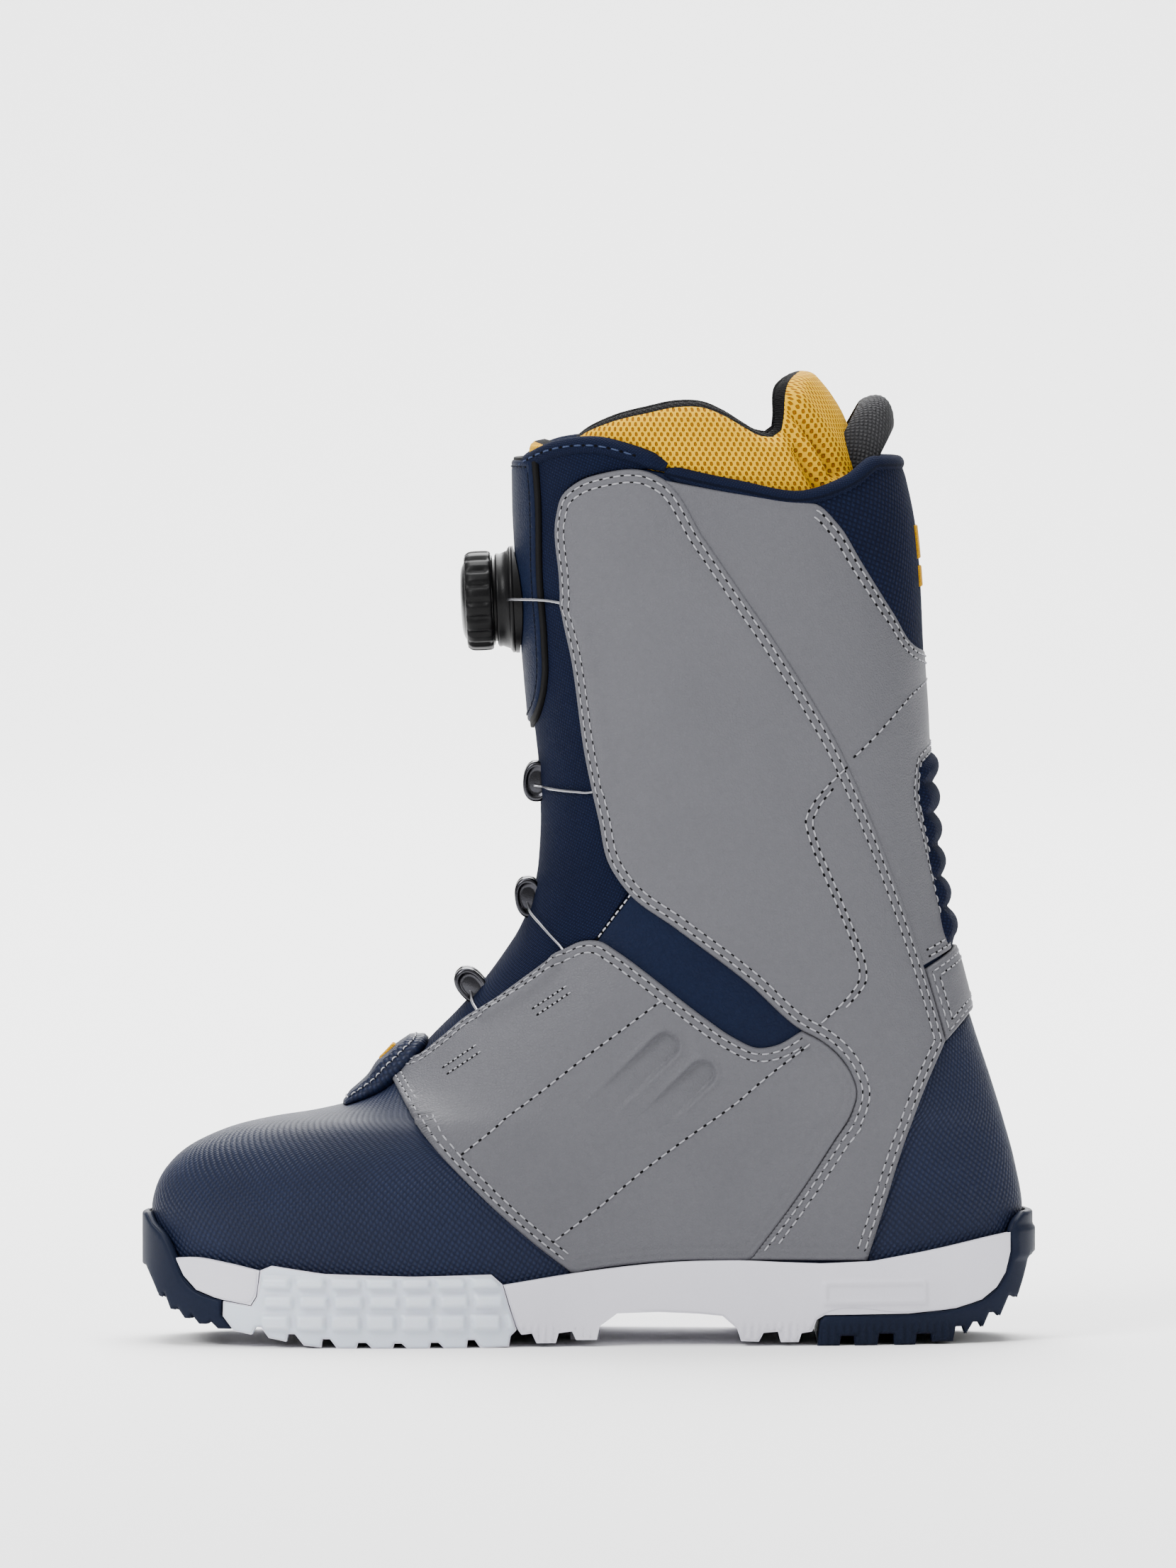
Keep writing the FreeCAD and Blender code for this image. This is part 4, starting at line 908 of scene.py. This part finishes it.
def over_front(skin, edge, step=1.5):
    """An unrolled path over the front, from a side-view line on one side to its mirror image."""
    xz = smooth_outline(edge, step, False, 80)
    half = skin.flat(xz[:, 0], xz[:, 1])
    half = half[half[:, 0] > 0.4]
    return np.concatenate([half, [[0.0, half[-1, 1]]], half[::-1] * [-1, 1]])


def build_tongue():
    edge = [(x - 0.2, z + 0.2) for x, z in TONGUE_EDGE]
    edge = [(-75, 92.4), (-64.6, 92.6)] + edge + [
        (24, 301.6), (14, 305.6), (2, 308.4), (-8, 307.6), (-18.6, 304), (-24.4, 298), (-40, 292),
    ]
    cloth = patch("tongue_cloth", SHIN, end_loop(SHIN, edge, False), M["navy_weave"], 0.0, WALL, 1.0, 2.4)
    settle(cloth, "tongue", "navy_fabric", "tongue")
    line = [(26.5, 300.4), (20, 303.2), (12, 305.9), (3, 307.9), (-5, 307.7), (-12, 306.3), (-18, 303.6),
            (-22.5, 300.4), (-24.8, 297.6), (-40, 297.4)]
    path = over_front(SHIN, line)
    band(SHIN, path, "tongue", "tongue_roll", 3.1, M["navy_lining"], 1.2, "navy_fabric", "tongue_rim", ends=5)
    point, normal, _, _ = SHIN.frame_at(path[8:-8])
    sew(point + normal * 1.86, normal, "tongue", colour="blue_thread", length=3.2, gap=1.4)
    rim = [(-40, 303.6), (-17.0, 303.6), (-16.0, 290), (-15.4, 262), (-13.8, 240), (-13.6, 228),
           (-15.2, 218.6), (-18.2, 211.4), (-22, 208.4), (-40, 208.2)]
    black = patch("dial_patch_edge", SHIN, end_loop(SHIN, rim, False), M["black_edge"], 1.5, 0.05, 0.5, 2.6)
    settle(black, "tongue", "navy_leather")
    face = [(x if x == -40 else x - 1.0, z + (0.9 if z < 215 else (-0.9 if z > 300 else 0))) for x, z in rim]
    loop = end_loop(SHIN, face, False)
    skin = patch("dial_patch_face", SHIN, loop, M["navy_leather"], 2.2, 0.4, 1.3, 2.2, grooves=((2.4, 0.18),))
    settle(skin, "tongue", "navy_leather", "dial_patch")
    sew_edge(SHIN, loop, 2.4, "tongue", 2.1, colour="dark_thread", thick=0.22)


# ---- collar, mark, tab, loop ------------------------------------------------------------------------------
def tube(name, centres, radius, material, sides):
    """A round tube along points in space; radius may be one number or one a point."""
    c = np.array(centres, float)
    along = np.concatenate([c[1:], c[-1:]]) - np.concatenate([c[:1], c[:-1]])
    along /= np.linalg.norm(along, axis=1, keepdims=True)
    side = np.cross(along, [0, 0, 1.0])
    weak = np.linalg.norm(side, axis=1) < 0.2
    side[weak] = np.cross(along[weak], [1.0, 0, 0])
    side /= np.linalg.norm(side, axis=1, keepdims=True)
    up = np.cross(side, along)
    radius = np.broadcast_to(np.asarray(radius, float), (len(c),))
    run = np.concatenate([[0], np.cumsum(np.linalg.norm(np.diff(c, axis=0), axis=1))])
    verts, uv = [], []
    for i, r in enumerate(radius):
        for a in range(sides):
            w = TAU * a / sides
            verts.append(c[i] + side[i] * r * math.cos(w) + up[i] * r * math.sin(w))
            uv.append((run[i], a * TAU * r / sides))
    faces = grid_faces(len(c), sides, closed_columns=True)
    faces.append(tuple(range(sides)))
    faces.append(tuple((len(c) - 1) * sides + a for a in reversed(range(sides))))
    return make_object(name, verts, faces, material, uv)


def build_collar():
    line = smooth_outline([(26, 300.2)] + COLLAR_LINE[1:] + [(150, 304)], 1.5, False, 60)
    half = SHAFT.flat(line[:, 0], np.minimum(line[:, 1], 303.0) - 1.4)
    half = half[half[:, 0] < SHAFT.half_turn - 0.5]
    last = [[SHAFT.half_turn, half[-1, 1]]]
    path = np.concatenate([half, last, half[::-1] * [-1, 1] + [2 * SHAFT.half_turn, 0]])
    band(SHAFT, path, "shell", "collar_binding", 2.8, M["navy_lining"], 1.1, "navy_fabric", "collar_rim")


CREASES = (
    [(67, 320), (71, 310), (76, 301), (81, 292)],
    [(70, 322), (76, 314), (81, 307), (85, 299)],
)


def liner_folds(point, d):
    """Two pinched creases at the heel tab's root, each with a soft bulge beside it."""
    out = np.zeros(len(point))
    for line in CREASES:
        near = off_line(point, line, 1.0)
        out -= 4.6 * np.exp(-((near / 1.9) ** 2)) - 1.3 * np.exp(-(((near - 5.0) / 2.6) ** 2))
    return out * smooth_step(1.0, 6.0, d)


def build_liner():
    """The inner boot's cuff with its heel tab, a thick pad open at the front, and its tongue."""
    edge = [
        (150, 138), (30, 138), (6, 144), (10.6, 156), (5.6, 165), (2.6, 180), (0, 190), (-2, 200), (-7, 235),
        (-10, 253), (-11, 262), (-11.4, 300), (-11, 309), (-5, 313), (5, 316.9), (20, 320.4), (30, 322.4),
        (40, 322.2), (48, 319.2), (55, 315.4), (60, 313.0), (64, 312.6), (67, 314.6), (68, 319.6),
        (69, 327.0), (71, 333.4), (74.4, 337.4), (79, 338.6), (150, 338.6),
    ]
    loop = end_loop(LINER, edge, True)
    cuff = patch("liner_pad", LINER, loop, M["yellow_mesh"], -3.4, -12.2, 7.0, 2.0, relief=liner_folds,
                 rows=[0.25, 0.8, 1.6, 2.6, 3.8, 5.2, 6.8], soft=1.2, lining=(M["black_lining"], 1.9))
    settle(cuff, "shell", "yellow_mesh", "liner_cuff", "liner_heel_tab")
    edge = [
        (-60, 133), (-24, 133.5), (-11, 141), (-4, 144.6), (7.0, 156), (2, 165), (-1, 180), (-3.4, 190),
        (-5.4, 200), (-10.4, 235), (-13.4, 253), (-14.4, 262), (-14.6, 300), (-15.4, 306.5), (-20, 308.6),
        (-60, 308.8),
    ]
    loop = end_loop(LINER, edge, False)
    tongue = patch("liner_tongue_pad", LINER, loop, M["yellow_mesh"], -3.6, -11.6, 3.4, 2.6,
                   lining=(M["black_lining"], 1.4))
    settle(tongue, "tongue", "yellow_mesh", "liner_tongue")


def build_mark():
    """Two plain sewn bars on the back of the collar."""
    for i, (low, high) in enumerate(((259.0, 266.2), (268.6, 280.0))):
        loop = []
        for z, way in ((low, 1), (high, -1)):
            ring = SHAFT.flat(np.linspace(60, 125, 4000), np.full(4000, z))
            y = np.abs(SHAFT.point(ring)[:, 1])
            start = ring[int(np.argmax(y < 14.0)), 0]
            across = np.linspace(start, 2 * SHAFT.half_turn - start, 24)[::way]
            loop += [(s, ring[0, 1]) for s in across]
        piece = patch(f"mark_bar_{i}", SHAFT, np.array(loop), M["yellow_thread"], 1.75, 0.9, 0.5, 1.6)
        settle(piece, "shell", "yellow_thread", *(["heel_mark"] if i == 0 else []))


TAB_RISE = Curve([(80.5, 0.3), (82, 2.6), (85, 4.6), (90, 6.6), (95, 6.2), (100, 4.8), (104, 3.6)])


def tab_relief(point, d):
    return TAB_RISE(point[:, 2]) * (0.45 + 0.55 * smooth_step(0.2, 3.6, d)) - 0.3


def build_tab():
    """A puffed leather flap lying over the joint of vamp and tongue."""
    outline = [  # (z, half width)
        (80.6, 13.0), (82.5, 14.0), (86, 14.8), (92, 15.0), (96, 14.4), (99, 13.2), (101, 11.6), (102.4, 9.0),
        (103, 6.0),
    ]
    half = []
    for z, y in outline:
        ring = VAMP.flat(np.full(3000, 0.0), np.full(3000, z))
        ring[:, 0] = np.linspace(0, 90, 3000)
        half.append(ring[int(np.argmax(np.abs(VAMP.point(ring)[:, 1]) > y))])
    half = np.array(half)
    loop = np.concatenate([half, half[::-1] * [-1, 1]])
    piece = patch("tab_leather", VAMP, loop, M["navy_dot"], 1.6, 0.35, 1.3, 1.3, relief=tab_relief)
    settle(piece, "tab", "navy_leather", "vamp_tab")
    sew_flap(loop)


def sew_flap(loop):
    loop = clean_loop(loop)
    moved, good = inset(VAMP, loop, 1.8)
    point, normal, _, _ = VAMP.frame_at(moved)
    for run in chains(good):
        height = 1.3 + TAB_RISE(point[run][:, 2]) * 0.72
        line = point[run] + normal[run] * height[:, None]
        sew(line, normal[run], "tab", colour="white_thread", length=2.2, gap=0.5)
    z = np.linspace(90.5, 96.5, 12)
    middle = VAMP.flat(np.full(12, -200.0), z)
    bar = np.concatenate([middle + [5.5, 0], (middle - [5.5, 0])[::-1]])
    mark = patch("tab_mark", VAMP, bar, M["yellow_thread"], 8.3, 6.4, 0.5, 1.2)
    settle(mark, "tab", "yellow_thread")


def build_loop():
    """Ribbed webbing arch behind the liner."""
    half_span, rise, thick, width, columns = 27.0, 38.0, 1.5, 14.6, 30
    lean = math.radians(28)
    up = np.array([math.sin(lean), 0, math.cos(lean)])
    across = np.array([math.cos(lean), 0, -math.sin(lean)])
    foot = np.array([77.5, 0, 293.0])
    turn = np.linspace(math.pi, 0, 61)
    path = np.stack([half_span * np.cos(turn), rise * np.sin(turn) ** 0.85], -1)
    run = np.concatenate([[0], np.cumsum(np.linalg.norm(np.diff(path, axis=0), axis=1))])
    tangent = np.gradient(path, axis=0)
    tangent /= np.linalg.norm(tangent, axis=1, keepdims=True)
    verts, uv = [], []
    for i, (a, h) in enumerate(path):
        low = 7.0 * (1 - min(1.0, h / (0.6 * rise)))
        outward = -tangent[i, 1] * np.array([0, 1.0, 0]) + tangent[i, 0] * up
        for face, order in ((1, range(columns)), (-1, reversed(range(columns)))):
            for c in order:
                t = c / (columns - 1)
                w = low + (width - low) * t
                rib = 0.22 * math.sin(t * math.pi * 9) ** 2
                off = face * (thick / 2 + rib) * (1 - abs(2 * t - 1) ** 8 * 0.6)
                droop = 5.5 * (h / rise) ** 2 * (2 * t - 0.9) ** 2
                verts.append(foot + up * (h - droop) + across * w + np.array([0, a, 0]) + outward * off)
                uv.append((run[i], w))
    rows = len(path)
    faces = grid_faces(rows, 2 * columns, closed_columns=True)
    faces.append(tuple(range(2 * columns)))
    faces.append(tuple((rows - 1) * 2 * columns + k for k in reversed(range(2 * columns))))
    piece = make_object("pull_loop_webbing", verts, faces, M["black_webbing"], uv)
    settle(piece, "pull_loop", "black_webbing", "pull_loop")


# ---- dial, guides and lace --------------------------------------------------------------------------------
DIAL_SEAT = np.array([-24.3, 0.0, 254.5])
DIAL_AXIS = np.array([-math.cos(math.radians(2.6)), 0.0, -math.sin(math.radians(2.6))])
DIAL_UP = np.array([-DIAL_AXIS[2], 0.0, DIAL_AXIS[0]]) * -1
GUIDES = {  # (x, z, lean in degrees)
    "guide_upper": (-17.6, 192.0, 4.0),
    "guide_middle": (-20.4, 152.0, -8.0),
    "guide_lower": (-40.0, 121.6, -42.0),
}


def lathe(name, profile, material, ripple=None, segments=144):
    """A turned piece on the dial's axis.

    profile is (height, radius); ripple(angle, height, radius) adds to the radius."""
    verts = []
    across = np.array([0, 1.0, 0])
    for height, radius in profile:
        for k in range(segments):
            w = TAU * k / segments
            r = radius + (ripple(w, height, radius) if ripple else 0.0)
            spoke = across * math.cos(w) + DIAL_UP * math.sin(w)
            verts.append(DIAL_SEAT + DIAL_AXIS * height + spoke * r)
    faces = grid_faces(len(profile), segments, closed_rows=True, closed_columns=True)
    uv = [(k, h) for h, _ in profile for k in range(segments)]
    return make_object(name, verts, faces, material, uv)


def knob_ripple(w, height, radius):
    """Eighteen rounded slots round the grip."""
    if radius < 15.9:
        return 0.0
    wave = math.cos(9 * w) ** 2
    slot = max(0.0, 1 - ((1 - wave) / 0.34) ** 2) if wave > 0.66 else 0.0
    deep = 0.95 if 10.2 < height < 16.4 else 0.3
    return -deep * slot


def build_dial():
    grip = [(8.7, 15.75), (8.7, 16.3), (9.0, 16.75), (9.6, 17.0), (10.4, 17.1), (12.0, 17.15), (13.6, 17.15),
            (15.2, 17.1), (16.2, 16.9), (17.0, 16.4), (17.5, 15.95), (17.6, 15.75)]
    piece = lathe("knob_tyre", grip, M["grip_rubber"], knob_ripple)
    settle(piece, "knob", "grip_rubber", "knob_grip")
    face = [(8.2, 13.5), (8.1, 15.2), (8.6, 15.6), (16.8, 15.6), (17.6, 15.3), (17.9, 14.8), (17.5, 14.2),
            (17.5, 13.6), (18.2, 12.9), (18.9, 11.4), (19.3, 9.0), (19.5, 5.0), (19.5, 0.4), (19.5, 0.02),
            (12.0, 0.02), (12.0, 13.5)]
    piece = lathe("knob_cap", face, M["black_gloss"])
    settle(piece, "knob", "dial_plastic", "knob_core")
    ring = [(1.0, 17.8), (1.5, 18.4), (2.2, 18.3), (2.7, 17.6), (3.0, 16.9), (5.6, 15.9), (6.4, 16.1),
            (7.0, 15.9), (7.3, 15.2), (7.3, 14.4), (1.0, 14.4)]
    piece = lathe("dial_collar", ring, M["black_plastic"])
    settle(piece, "tongue", "dial_plastic")


def build_guides():
    """Oval metal hooks: a rimmed boss at each side of a waisted bar."""
    sections = [(-10.9, 0.50), (-10.6, 0.66), (-11.4, 0.74), (-11.6, 0.88), (-11.0, 1.0), (-8.6, 1.02),
                (-7.0, 0.96), (-5.8, 0.80), (-3.0, 0.70)]
    sections = sections + [(-y, k) for y, k in sections[::-1]]
    for name, (x, z, lean) in GUIDES.items():
        c, n = math.cos(math.radians(lean)), math.sin(math.radians(lean))
        verts, sides = [], 40
        for y, k in sections:
            for a in range(sides):
                w = TAU * a / sides
                p = 4.7 * k * math.copysign(abs(math.cos(w)) ** 0.9, math.cos(w))
                q = 6.9 * k * math.copysign(abs(math.sin(w)) ** 0.85, math.sin(w))
                verts.append((x + p * c + q * n, y, z - p * n + q * c))
        faces = grid_faces(len(sections), sides, closed_columns=True)
        faces.append(tuple(range(sides))[::-1])
        faces.append(tuple((len(sections) - 1) * sides + a for a in range(sides)))
        piece = make_object(f"{name}_hook", verts, faces, M["dark_chrome"], [(v[0], v[2]) for v in verts])
        settle(piece, "tongue", "guide_metal", name)


WIRE_RADIUS = 0.48
# The wires' middle stretches beside the tongue: (x, z, height above the skin).
UPPER_RUN = [
    (-9.5, 254.2, 1.2), (-4.0, 250.6, 0.9), (-0.2, 243.0, 0.9), (2.6, 228.0, 0.9), (5.2, 211.0, 0.9),
    (7.6, 198.5, 0.9), (6.4, 191.8, 0.9), (1.2, 189.3, 1.0), (-3.5, 189.4, 1.3), (-8.0, 189.7, 1.3),
    (-12.0, 190.1, 1.4),
]
LOWER_RUN = [
    (-18.4, 146.6, 1.3), (-15.2, 143.0, 1.2), (-11.8, 139.2, 1.1), (-8.2, 135.2, 1.0), (-6.0, 130.0, 0.9),
    (-12.0, 124.6, 0.9), (-20.0, 118.6, 0.9), (-29.0, 112.4, 0.9), (-35.0, 110.6, 0.9), (-37.8, 114.0, 1.0),
    (-39.0, 116.2, 1.2),
]


def build_laces():
    """Steel wire: dial, under the upper panel, top hook; middle hook, under the lower panel, bottom hook."""
    for side, word in ((-1, "medial"), (1, "lateral")):
        routes = {
            "upper": (
                [(-28.2, side * 14.9, 254.3), (-26.4, side * 19.0, 254.8)], UPPER_RUN,
                [(-15.6, side * 12.3, 190.3), (-18.2, side * 12.1, 190.6), (-18.8, side * 10.2, 190.8)],
            ),
            "lower": (
                [(-21.0, side * 10.2, 150.6), (-20.8, side * 12.1, 149.6)], LOWER_RUN,
                [(-40.2, side * 12.1, 119.0), (-40.6, side * 10.2, 120.0)],
            ),
        }
        for level, (start, run, end) in routes.items():
            run = np.array(run)
            point, normal, _, _ = SHIN.frame_at(SHIN.flat(run[:, 0], run[:, 1], side))
            middle = point + normal * run[:, 2:3]
            line = smooth_3d(np.concatenate([start, middle, end]), 1.2)
            wire = tube(f"lace_{level}_{word}", line, WIRE_RADIUS, M["steel"], 10)
            if level == "upper":
                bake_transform(wire)
            else:
                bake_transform(wire)
            if side < 0 and level == "upper":
                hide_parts("lace")


def smooth_3d(points, step):
    """Catmull-Rom through points in space."""
    p = np.array(points, float)
    out = []
    for i in range(len(p) - 1):
        a, b = p[i], p[i + 1]
        before, after = p[max(i - 1, 0)], p[min(i + 2, len(p) - 1)]
        length = np.linalg.norm(b - a)
        ta = (b - before) / max(np.linalg.norm(b - before), 1e-9) * length
        tb = (after - a) / max(np.linalg.norm(after - a), 1e-9) * length
        out += span_points(a, ta, b, tb, max(2, int(length / step)))
    out.append(p[-1])
    return np.array(out)


# ---- sole -----------------------------------------------------------------------------------------------
FOREFOOT_WRAP = [
    (-124.8, 10.6), (-121, 5.6), (-115, 4.4), (-113.6, 7), (-111.6, 7), (-109, 3.4), (-103, 2.2),
    (-102.4, 4.8), (-100, 4.8), (-97, 1), (-91, 0.3), (-90.6, 3.2), (-88, 3.2), (-85.6, 0), (-79, 0),
    (-78.4, 2), (-75.6, 2), (-73.6, 0), (-66.6, 0), (-66, 1.8), (-63.6, 1.8), (-61.6, 0), (-54, 0),
    (-53.6, 2), (-51, 2), (-49, 0), (-41.4, 0), (-41, 2.8), (-38.6, 2.8), (-36.6, 0), (-27, 0.4),
    (-26.4, 4), (-24.4, 6), (-27, 14), (-29.2, 21.6), (-33, 25), (-60, 24.5), (-90, 25.4), (-108, 28),
    (-111.8, 26.4), (-113, 17.4), (-115, 14.2), (-124.6, 15.7),
]
TOE_BUMPER_EDGE = [
    (-160, 44.5), (-151.6, 44.5), (-149.6, 41.3), (-146, 38), (-141.3, 29.4), (-139, 23.8), (-134.4, 18.9),
    (-128.2, 16.6), (-125.4, 15.9), (-125.6, 11), (-122, 6.2), (-126.5, 6.2), (-129, 8.6), (-130.5, 7.6),
    (-133, 7.6), (-135.6, 10.8), (-136, 9.3), (-138, 9.3), (-140.6, 13), (-141, 12), (-143, 12.2),
    (-145, 17.4), (-145.6, 16), (-147, 16.4), (-149, 21), (-151.4, 26), (-160, 26),
]
HEEL_BUMPER_EDGE = [
    (160, 28.5), (151.2, 28.5), (149.6, 22), (147.4, 15), (146, 15.8), (144.4, 15.8), (141.4, 9), (140, 10.4),
    (137.6, 10.4), (135.4, 5.4), (134.2, 7.4), (132, 7.4), (129.6, 3.4), (128.6, 6), (126, 6), (125, 1),
    (118, 1), (117.6, 3.8), (112.6, 3.8), (112, 0), (105, 0), (104.6, 4), (99.6, 4), (99, 0), (91.4, 0),
    (91, 3.4), (86.6, 3.4), (86, 0), (78.6, 0), (79.4, 8.6), (81, 10.2), (110, 10.4), (126, 11.9),
    (135, 14.6), (140.4, 18.6), (143.6, 24), (145.3, 31), (145.2, 38), (146.4, 41), (149.6, 44.4),
    (160, 44.4),
]
MIDSOLE_REAR = [
    (-28.8, 21.4), (0, 25.8), (28, 28.8), (50, 29.4), (80, 28.2), (97, 28.8), (120, 32.8), (140, 36.8),
    (145, 37.6), (145, 31), (143.3, 24), (140.2, 19), (135, 15), (126, 12.3), (110, 10.8), (81, 10.6),
    (78.2, 9), (76.6, 5), (73, 4.4), (72, 1.4), (66, 1.4), (65, 5), (60, 4.6), (58.4, 1.6), (52.4, 1.8),
    (51, 6), (46, 10.4), (38, 11.2), (24, 11.8), (10, 11.4), (4, 7), (3, 2.4), (-4, 2.4), (-5.4, 5.4),
    (-10, 4.8), (-11, 1.4), (-17.4, 1.4), (-19, 4.8), (-22.6, 4.4), (-24, 6.4), (-26.6, 14),
]
MIDSOLE_FRONT = [
    (-141, 29.8), (-136, 30.3), (-124, 28.8), (-112.4, 26.3), (-113.6, 17.6), (-115.4, 14.7), (-125, 16.2),
    (-128, 17), (-134, 19.3), (-138.4, 24), (-140.8, 29),
]


def pads_relief(point, d):
    """Raised rounded blocks in three rows on the forefoot's wrap."""
    x, z = point[:, 0], point[:, 2]
    out = np.zeros(len(x))
    for row, (low, high) in enumerate(((6.0, 11.6), (13.6, 18.4), (20.4, 24.4))):
        for col in range(8):
            cx = -106.5 + 11.9 * col + (1.0 if row == 1 else 0)
            fx = 1 - smooth_step(4.2, 5.1, np.abs(x - cx))
            fz = smooth_step(0, 0.9, np.minimum(z - low, high - z))
            out = np.maximum(out, fx * fz)
    return out * 2.3 * smooth_step(0.3, 1.2, d)


def midsole_relief(point, d):
    """Upright ribs on the tread blocks and a plain raised plate with a sunk face near the heel."""
    x, z = point[:, 0], point[:, 2]
    inside = np.minimum(np.minimum(x - 80, 116 - x), np.minimum(z - 13.6, 22.4 - z))
    plate = 1.1 * smooth_step(0, 0.8, inside) - 0.9 * smooth_step(1.3, 2.1, inside)
    return plate * smooth_step(0.5, 1.5, d) + lug_ribs(x, z) * smooth_step(0.3, 0.9, d)


def lug_ribs(x, z):
    """Upright ribs on the tread blocks' faces."""
    return 0.6 * np.sin(x * TAU / 2.6) * (1 - smooth_step(6.6, 8.4, z))


def heel_relief(point, d):
    x, z = point[:, 0], point[:, 2]
    tab = smooth_step(0, 1.0, np.minimum(z - 28, 39.5 - z)) * smooth_step(143.5, 145.5, x)
    return 0.9 * tab * smooth_step(0.8, 2.0, d) + lug_ribs(x, z) * smooth_step(0.3, 0.9, d)


SOLE_SIDES = (  # (name, outline, outline step, material, height, grid spacing, relief)
    ("forefoot_rand", FOREFOOT_WRAP, 1.0, "clear_rubber", 0.5, 0.9, pads_relief),
    ("midsole_rand", MIDSOLE_REAR, 1.2, "white_rubber", 0.35, 0.95, midsole_relief),
    ("toe_strip", MIDSOLE_FRONT, 1.2, "white_rubber", 0.4, 1.4, None),
)
SOLE_ENDS = (  # (name, edge, at the back, grid spacing, relief)
    ("toe_rand", TOE_BUMPER_EDGE, False, 1.4, None),
    ("heel_rand", HEEL_BUMPER_EDGE, True, 1.0, heel_relief),
)
SOLE_WALL = -2.0  # the sole pieces' inner face, below the skin
SOLE_CORNER = 30  # their outlines stay sharp above this turn, in degrees


def build_sole():
    for side, word in ((-1, "medial"), (1, "lateral")):
        for name, outline, step, colour, height, spacing, relief in SOLE_SIDES:
            loop = side_loop(SOLE, outline, side, step, SOLE_CORNER)
            piece = patch(f"{name}_{word}", SOLE, loop, M[colour], height, SOLE_WALL, 0.9, spacing,
                          relief=relief)
            settle(piece, "shell", "white_rubber")
    for name, edge, back, spacing, relief in SOLE_ENDS:
        loop = end_loop(SOLE, edge, back, 1.0, SOLE_CORNER)
        piece = patch(name, SOLE, loop, M["navy_rubber"], 0.6, SOLE_WALL, 0.9, spacing, relief=relief)
        settle(piece, "shell", "navy_rubber")


# ---- camera, light and floor -------------------------------------------------------------------------------
CAMERA_DISTANCE = 5.0  # metres, from the point the camera looks at
CAMERA_RISE = 2.0  # degrees above level
CAMERA_TARGET = (0.0, 0.0, 0.1908)
HALF_VIEW = 0.27  # half the picture's height at the target, metres
SENSOR = 36.0
SWEEP_FRONT, SWEEP_BEND, SWEEP_RADIUS, SWEEP_TOP = -6.5, 5.8, 0.9, 4.0  # metres


def build_stage():
    camera = bpy.data.cameras.new("camera")
    camera.sensor_fit = "VERTICAL"
    camera.sensor_height = SENSOR
    camera.lens = SENSOR / 2 * CAMERA_DISTANCE / HALF_VIEW
    eye = bpy.data.objects.new("camera", camera)
    bpy.context.scene.collection.objects.link(eye)
    angle = math.radians(CAMERA_RISE)
    eye.location = Vector(CAMERA_TARGET) + Vector((0, -math.cos(angle), math.sin(angle))) * CAMERA_DISTANCE
    eye.rotation_euler = (math.pi / 2 - angle, 0, 0)
    bpy.context.scene.camera = eye
    rows = [(SWEEP_FRONT, 0.0), (SWEEP_BEND, 0.0)]
    for w in np.radians(np.linspace(0, 90, 17)[1:]):
        rows.append((SWEEP_BEND + SWEEP_RADIUS * math.sin(w), SWEEP_RADIUS - SWEEP_RADIUS * math.cos(w)))
    rows.append((SWEEP_BEND + SWEEP_RADIUS, SWEEP_TOP))
    verts, faces = [], []
    for y, z in rows:
        verts += [(-6000, y * 1000, z * 1000), (6000, y * 1000, z * 1000)]
    for i in range(len(rows) - 1):
        faces.append((2 * i, 2 * i + 1, 2 * i + 3, 2 * i + 2))
    n = Nodes("stage_paper", 0.95, Specular_IOR_Level=0.0)
    n.shader.inputs["Base Color"].default_value = (0.9, 0.9, 0.9, 1)
    floor = make_object("stage_sweep", verts, faces, n.material)
    world = bpy.data.worlds.new("studio")
    bpy.context.scene.world = world
    world.use_nodes = True
    world.node_tree.nodes["Background"].inputs[0].default_value = (1, 1, 1, 1)
    world.node_tree.nodes["Background"].inputs[1].default_value = 0.62
    for name, place, aim, size, power in (
        ("key", (-1.5, -1.7, 1.9), (0, 0, 0.15), (1.1, 1.1), 88.0),
        ("fill", (1.9, -2.0, 1.0), (0, 0, 0.15), (1.4, 1.4), 20.0),
        ("top", (0.0, -0.1, 2.3), (0, 0, 0), (2.0, 2.0), 54.0),
        ("wash", (0.0, 3.6, 2.4), (0, 3.61, 0), (2.0, 6.8), 480.0),
    ):
        light = bpy.data.lights.new(name, "AREA")
        light.energy = power
        light.shape = "RECTANGLE"
        light.size, light.size_y = size
        lamp = bpy.data.objects.new(name, light)
        lamp.location = place
        lamp.rotation_euler = (Vector(aim) - Vector(place)).to_track_quat("-Z", "Y").to_euler()
        bpy.context.scene.collection.objects.link(lamp)


def paint_frame():
    """Materials for the frame's own pieces that stay in view."""
    looks = {
        "white_rubber": "white_rubber", "navy_rubber": "navy_rubber", "footbed_foam": "footbed_cloth",
        "board": "board", "spring_steel": "steel", "dial_plastic": "black_plastic",
        "grip_rubber": "grip_rubber",
        "guide_metal": "dark_chrome", "lace_steel": "steel", "tube_plastic": "navy_rubber",
        "grey_leather": "grey_leather", "navy_leather": "navy_leather", "navy_fabric": "navy_lining",
        "yellow_mesh": "yellow_mesh", "yellow_thread": "yellow_thread", "black_webbing": "black_webbing",
    }
    for part in frame["record"]["subparts"]:
        node = frame["nodes"][part["node"]]
        node.data.materials.clear()
        node.data.materials.append(M[looks[part["material_slot"]]])


paint_frame()
build_stage()
build_wall()
build_back()
build_quarters()
build_tongue()
build_collar()
build_liner()
build_dial()
build_guides()
build_laces()
build_mark()
build_tab()
build_loop()
build_sole()
finish_stitches()
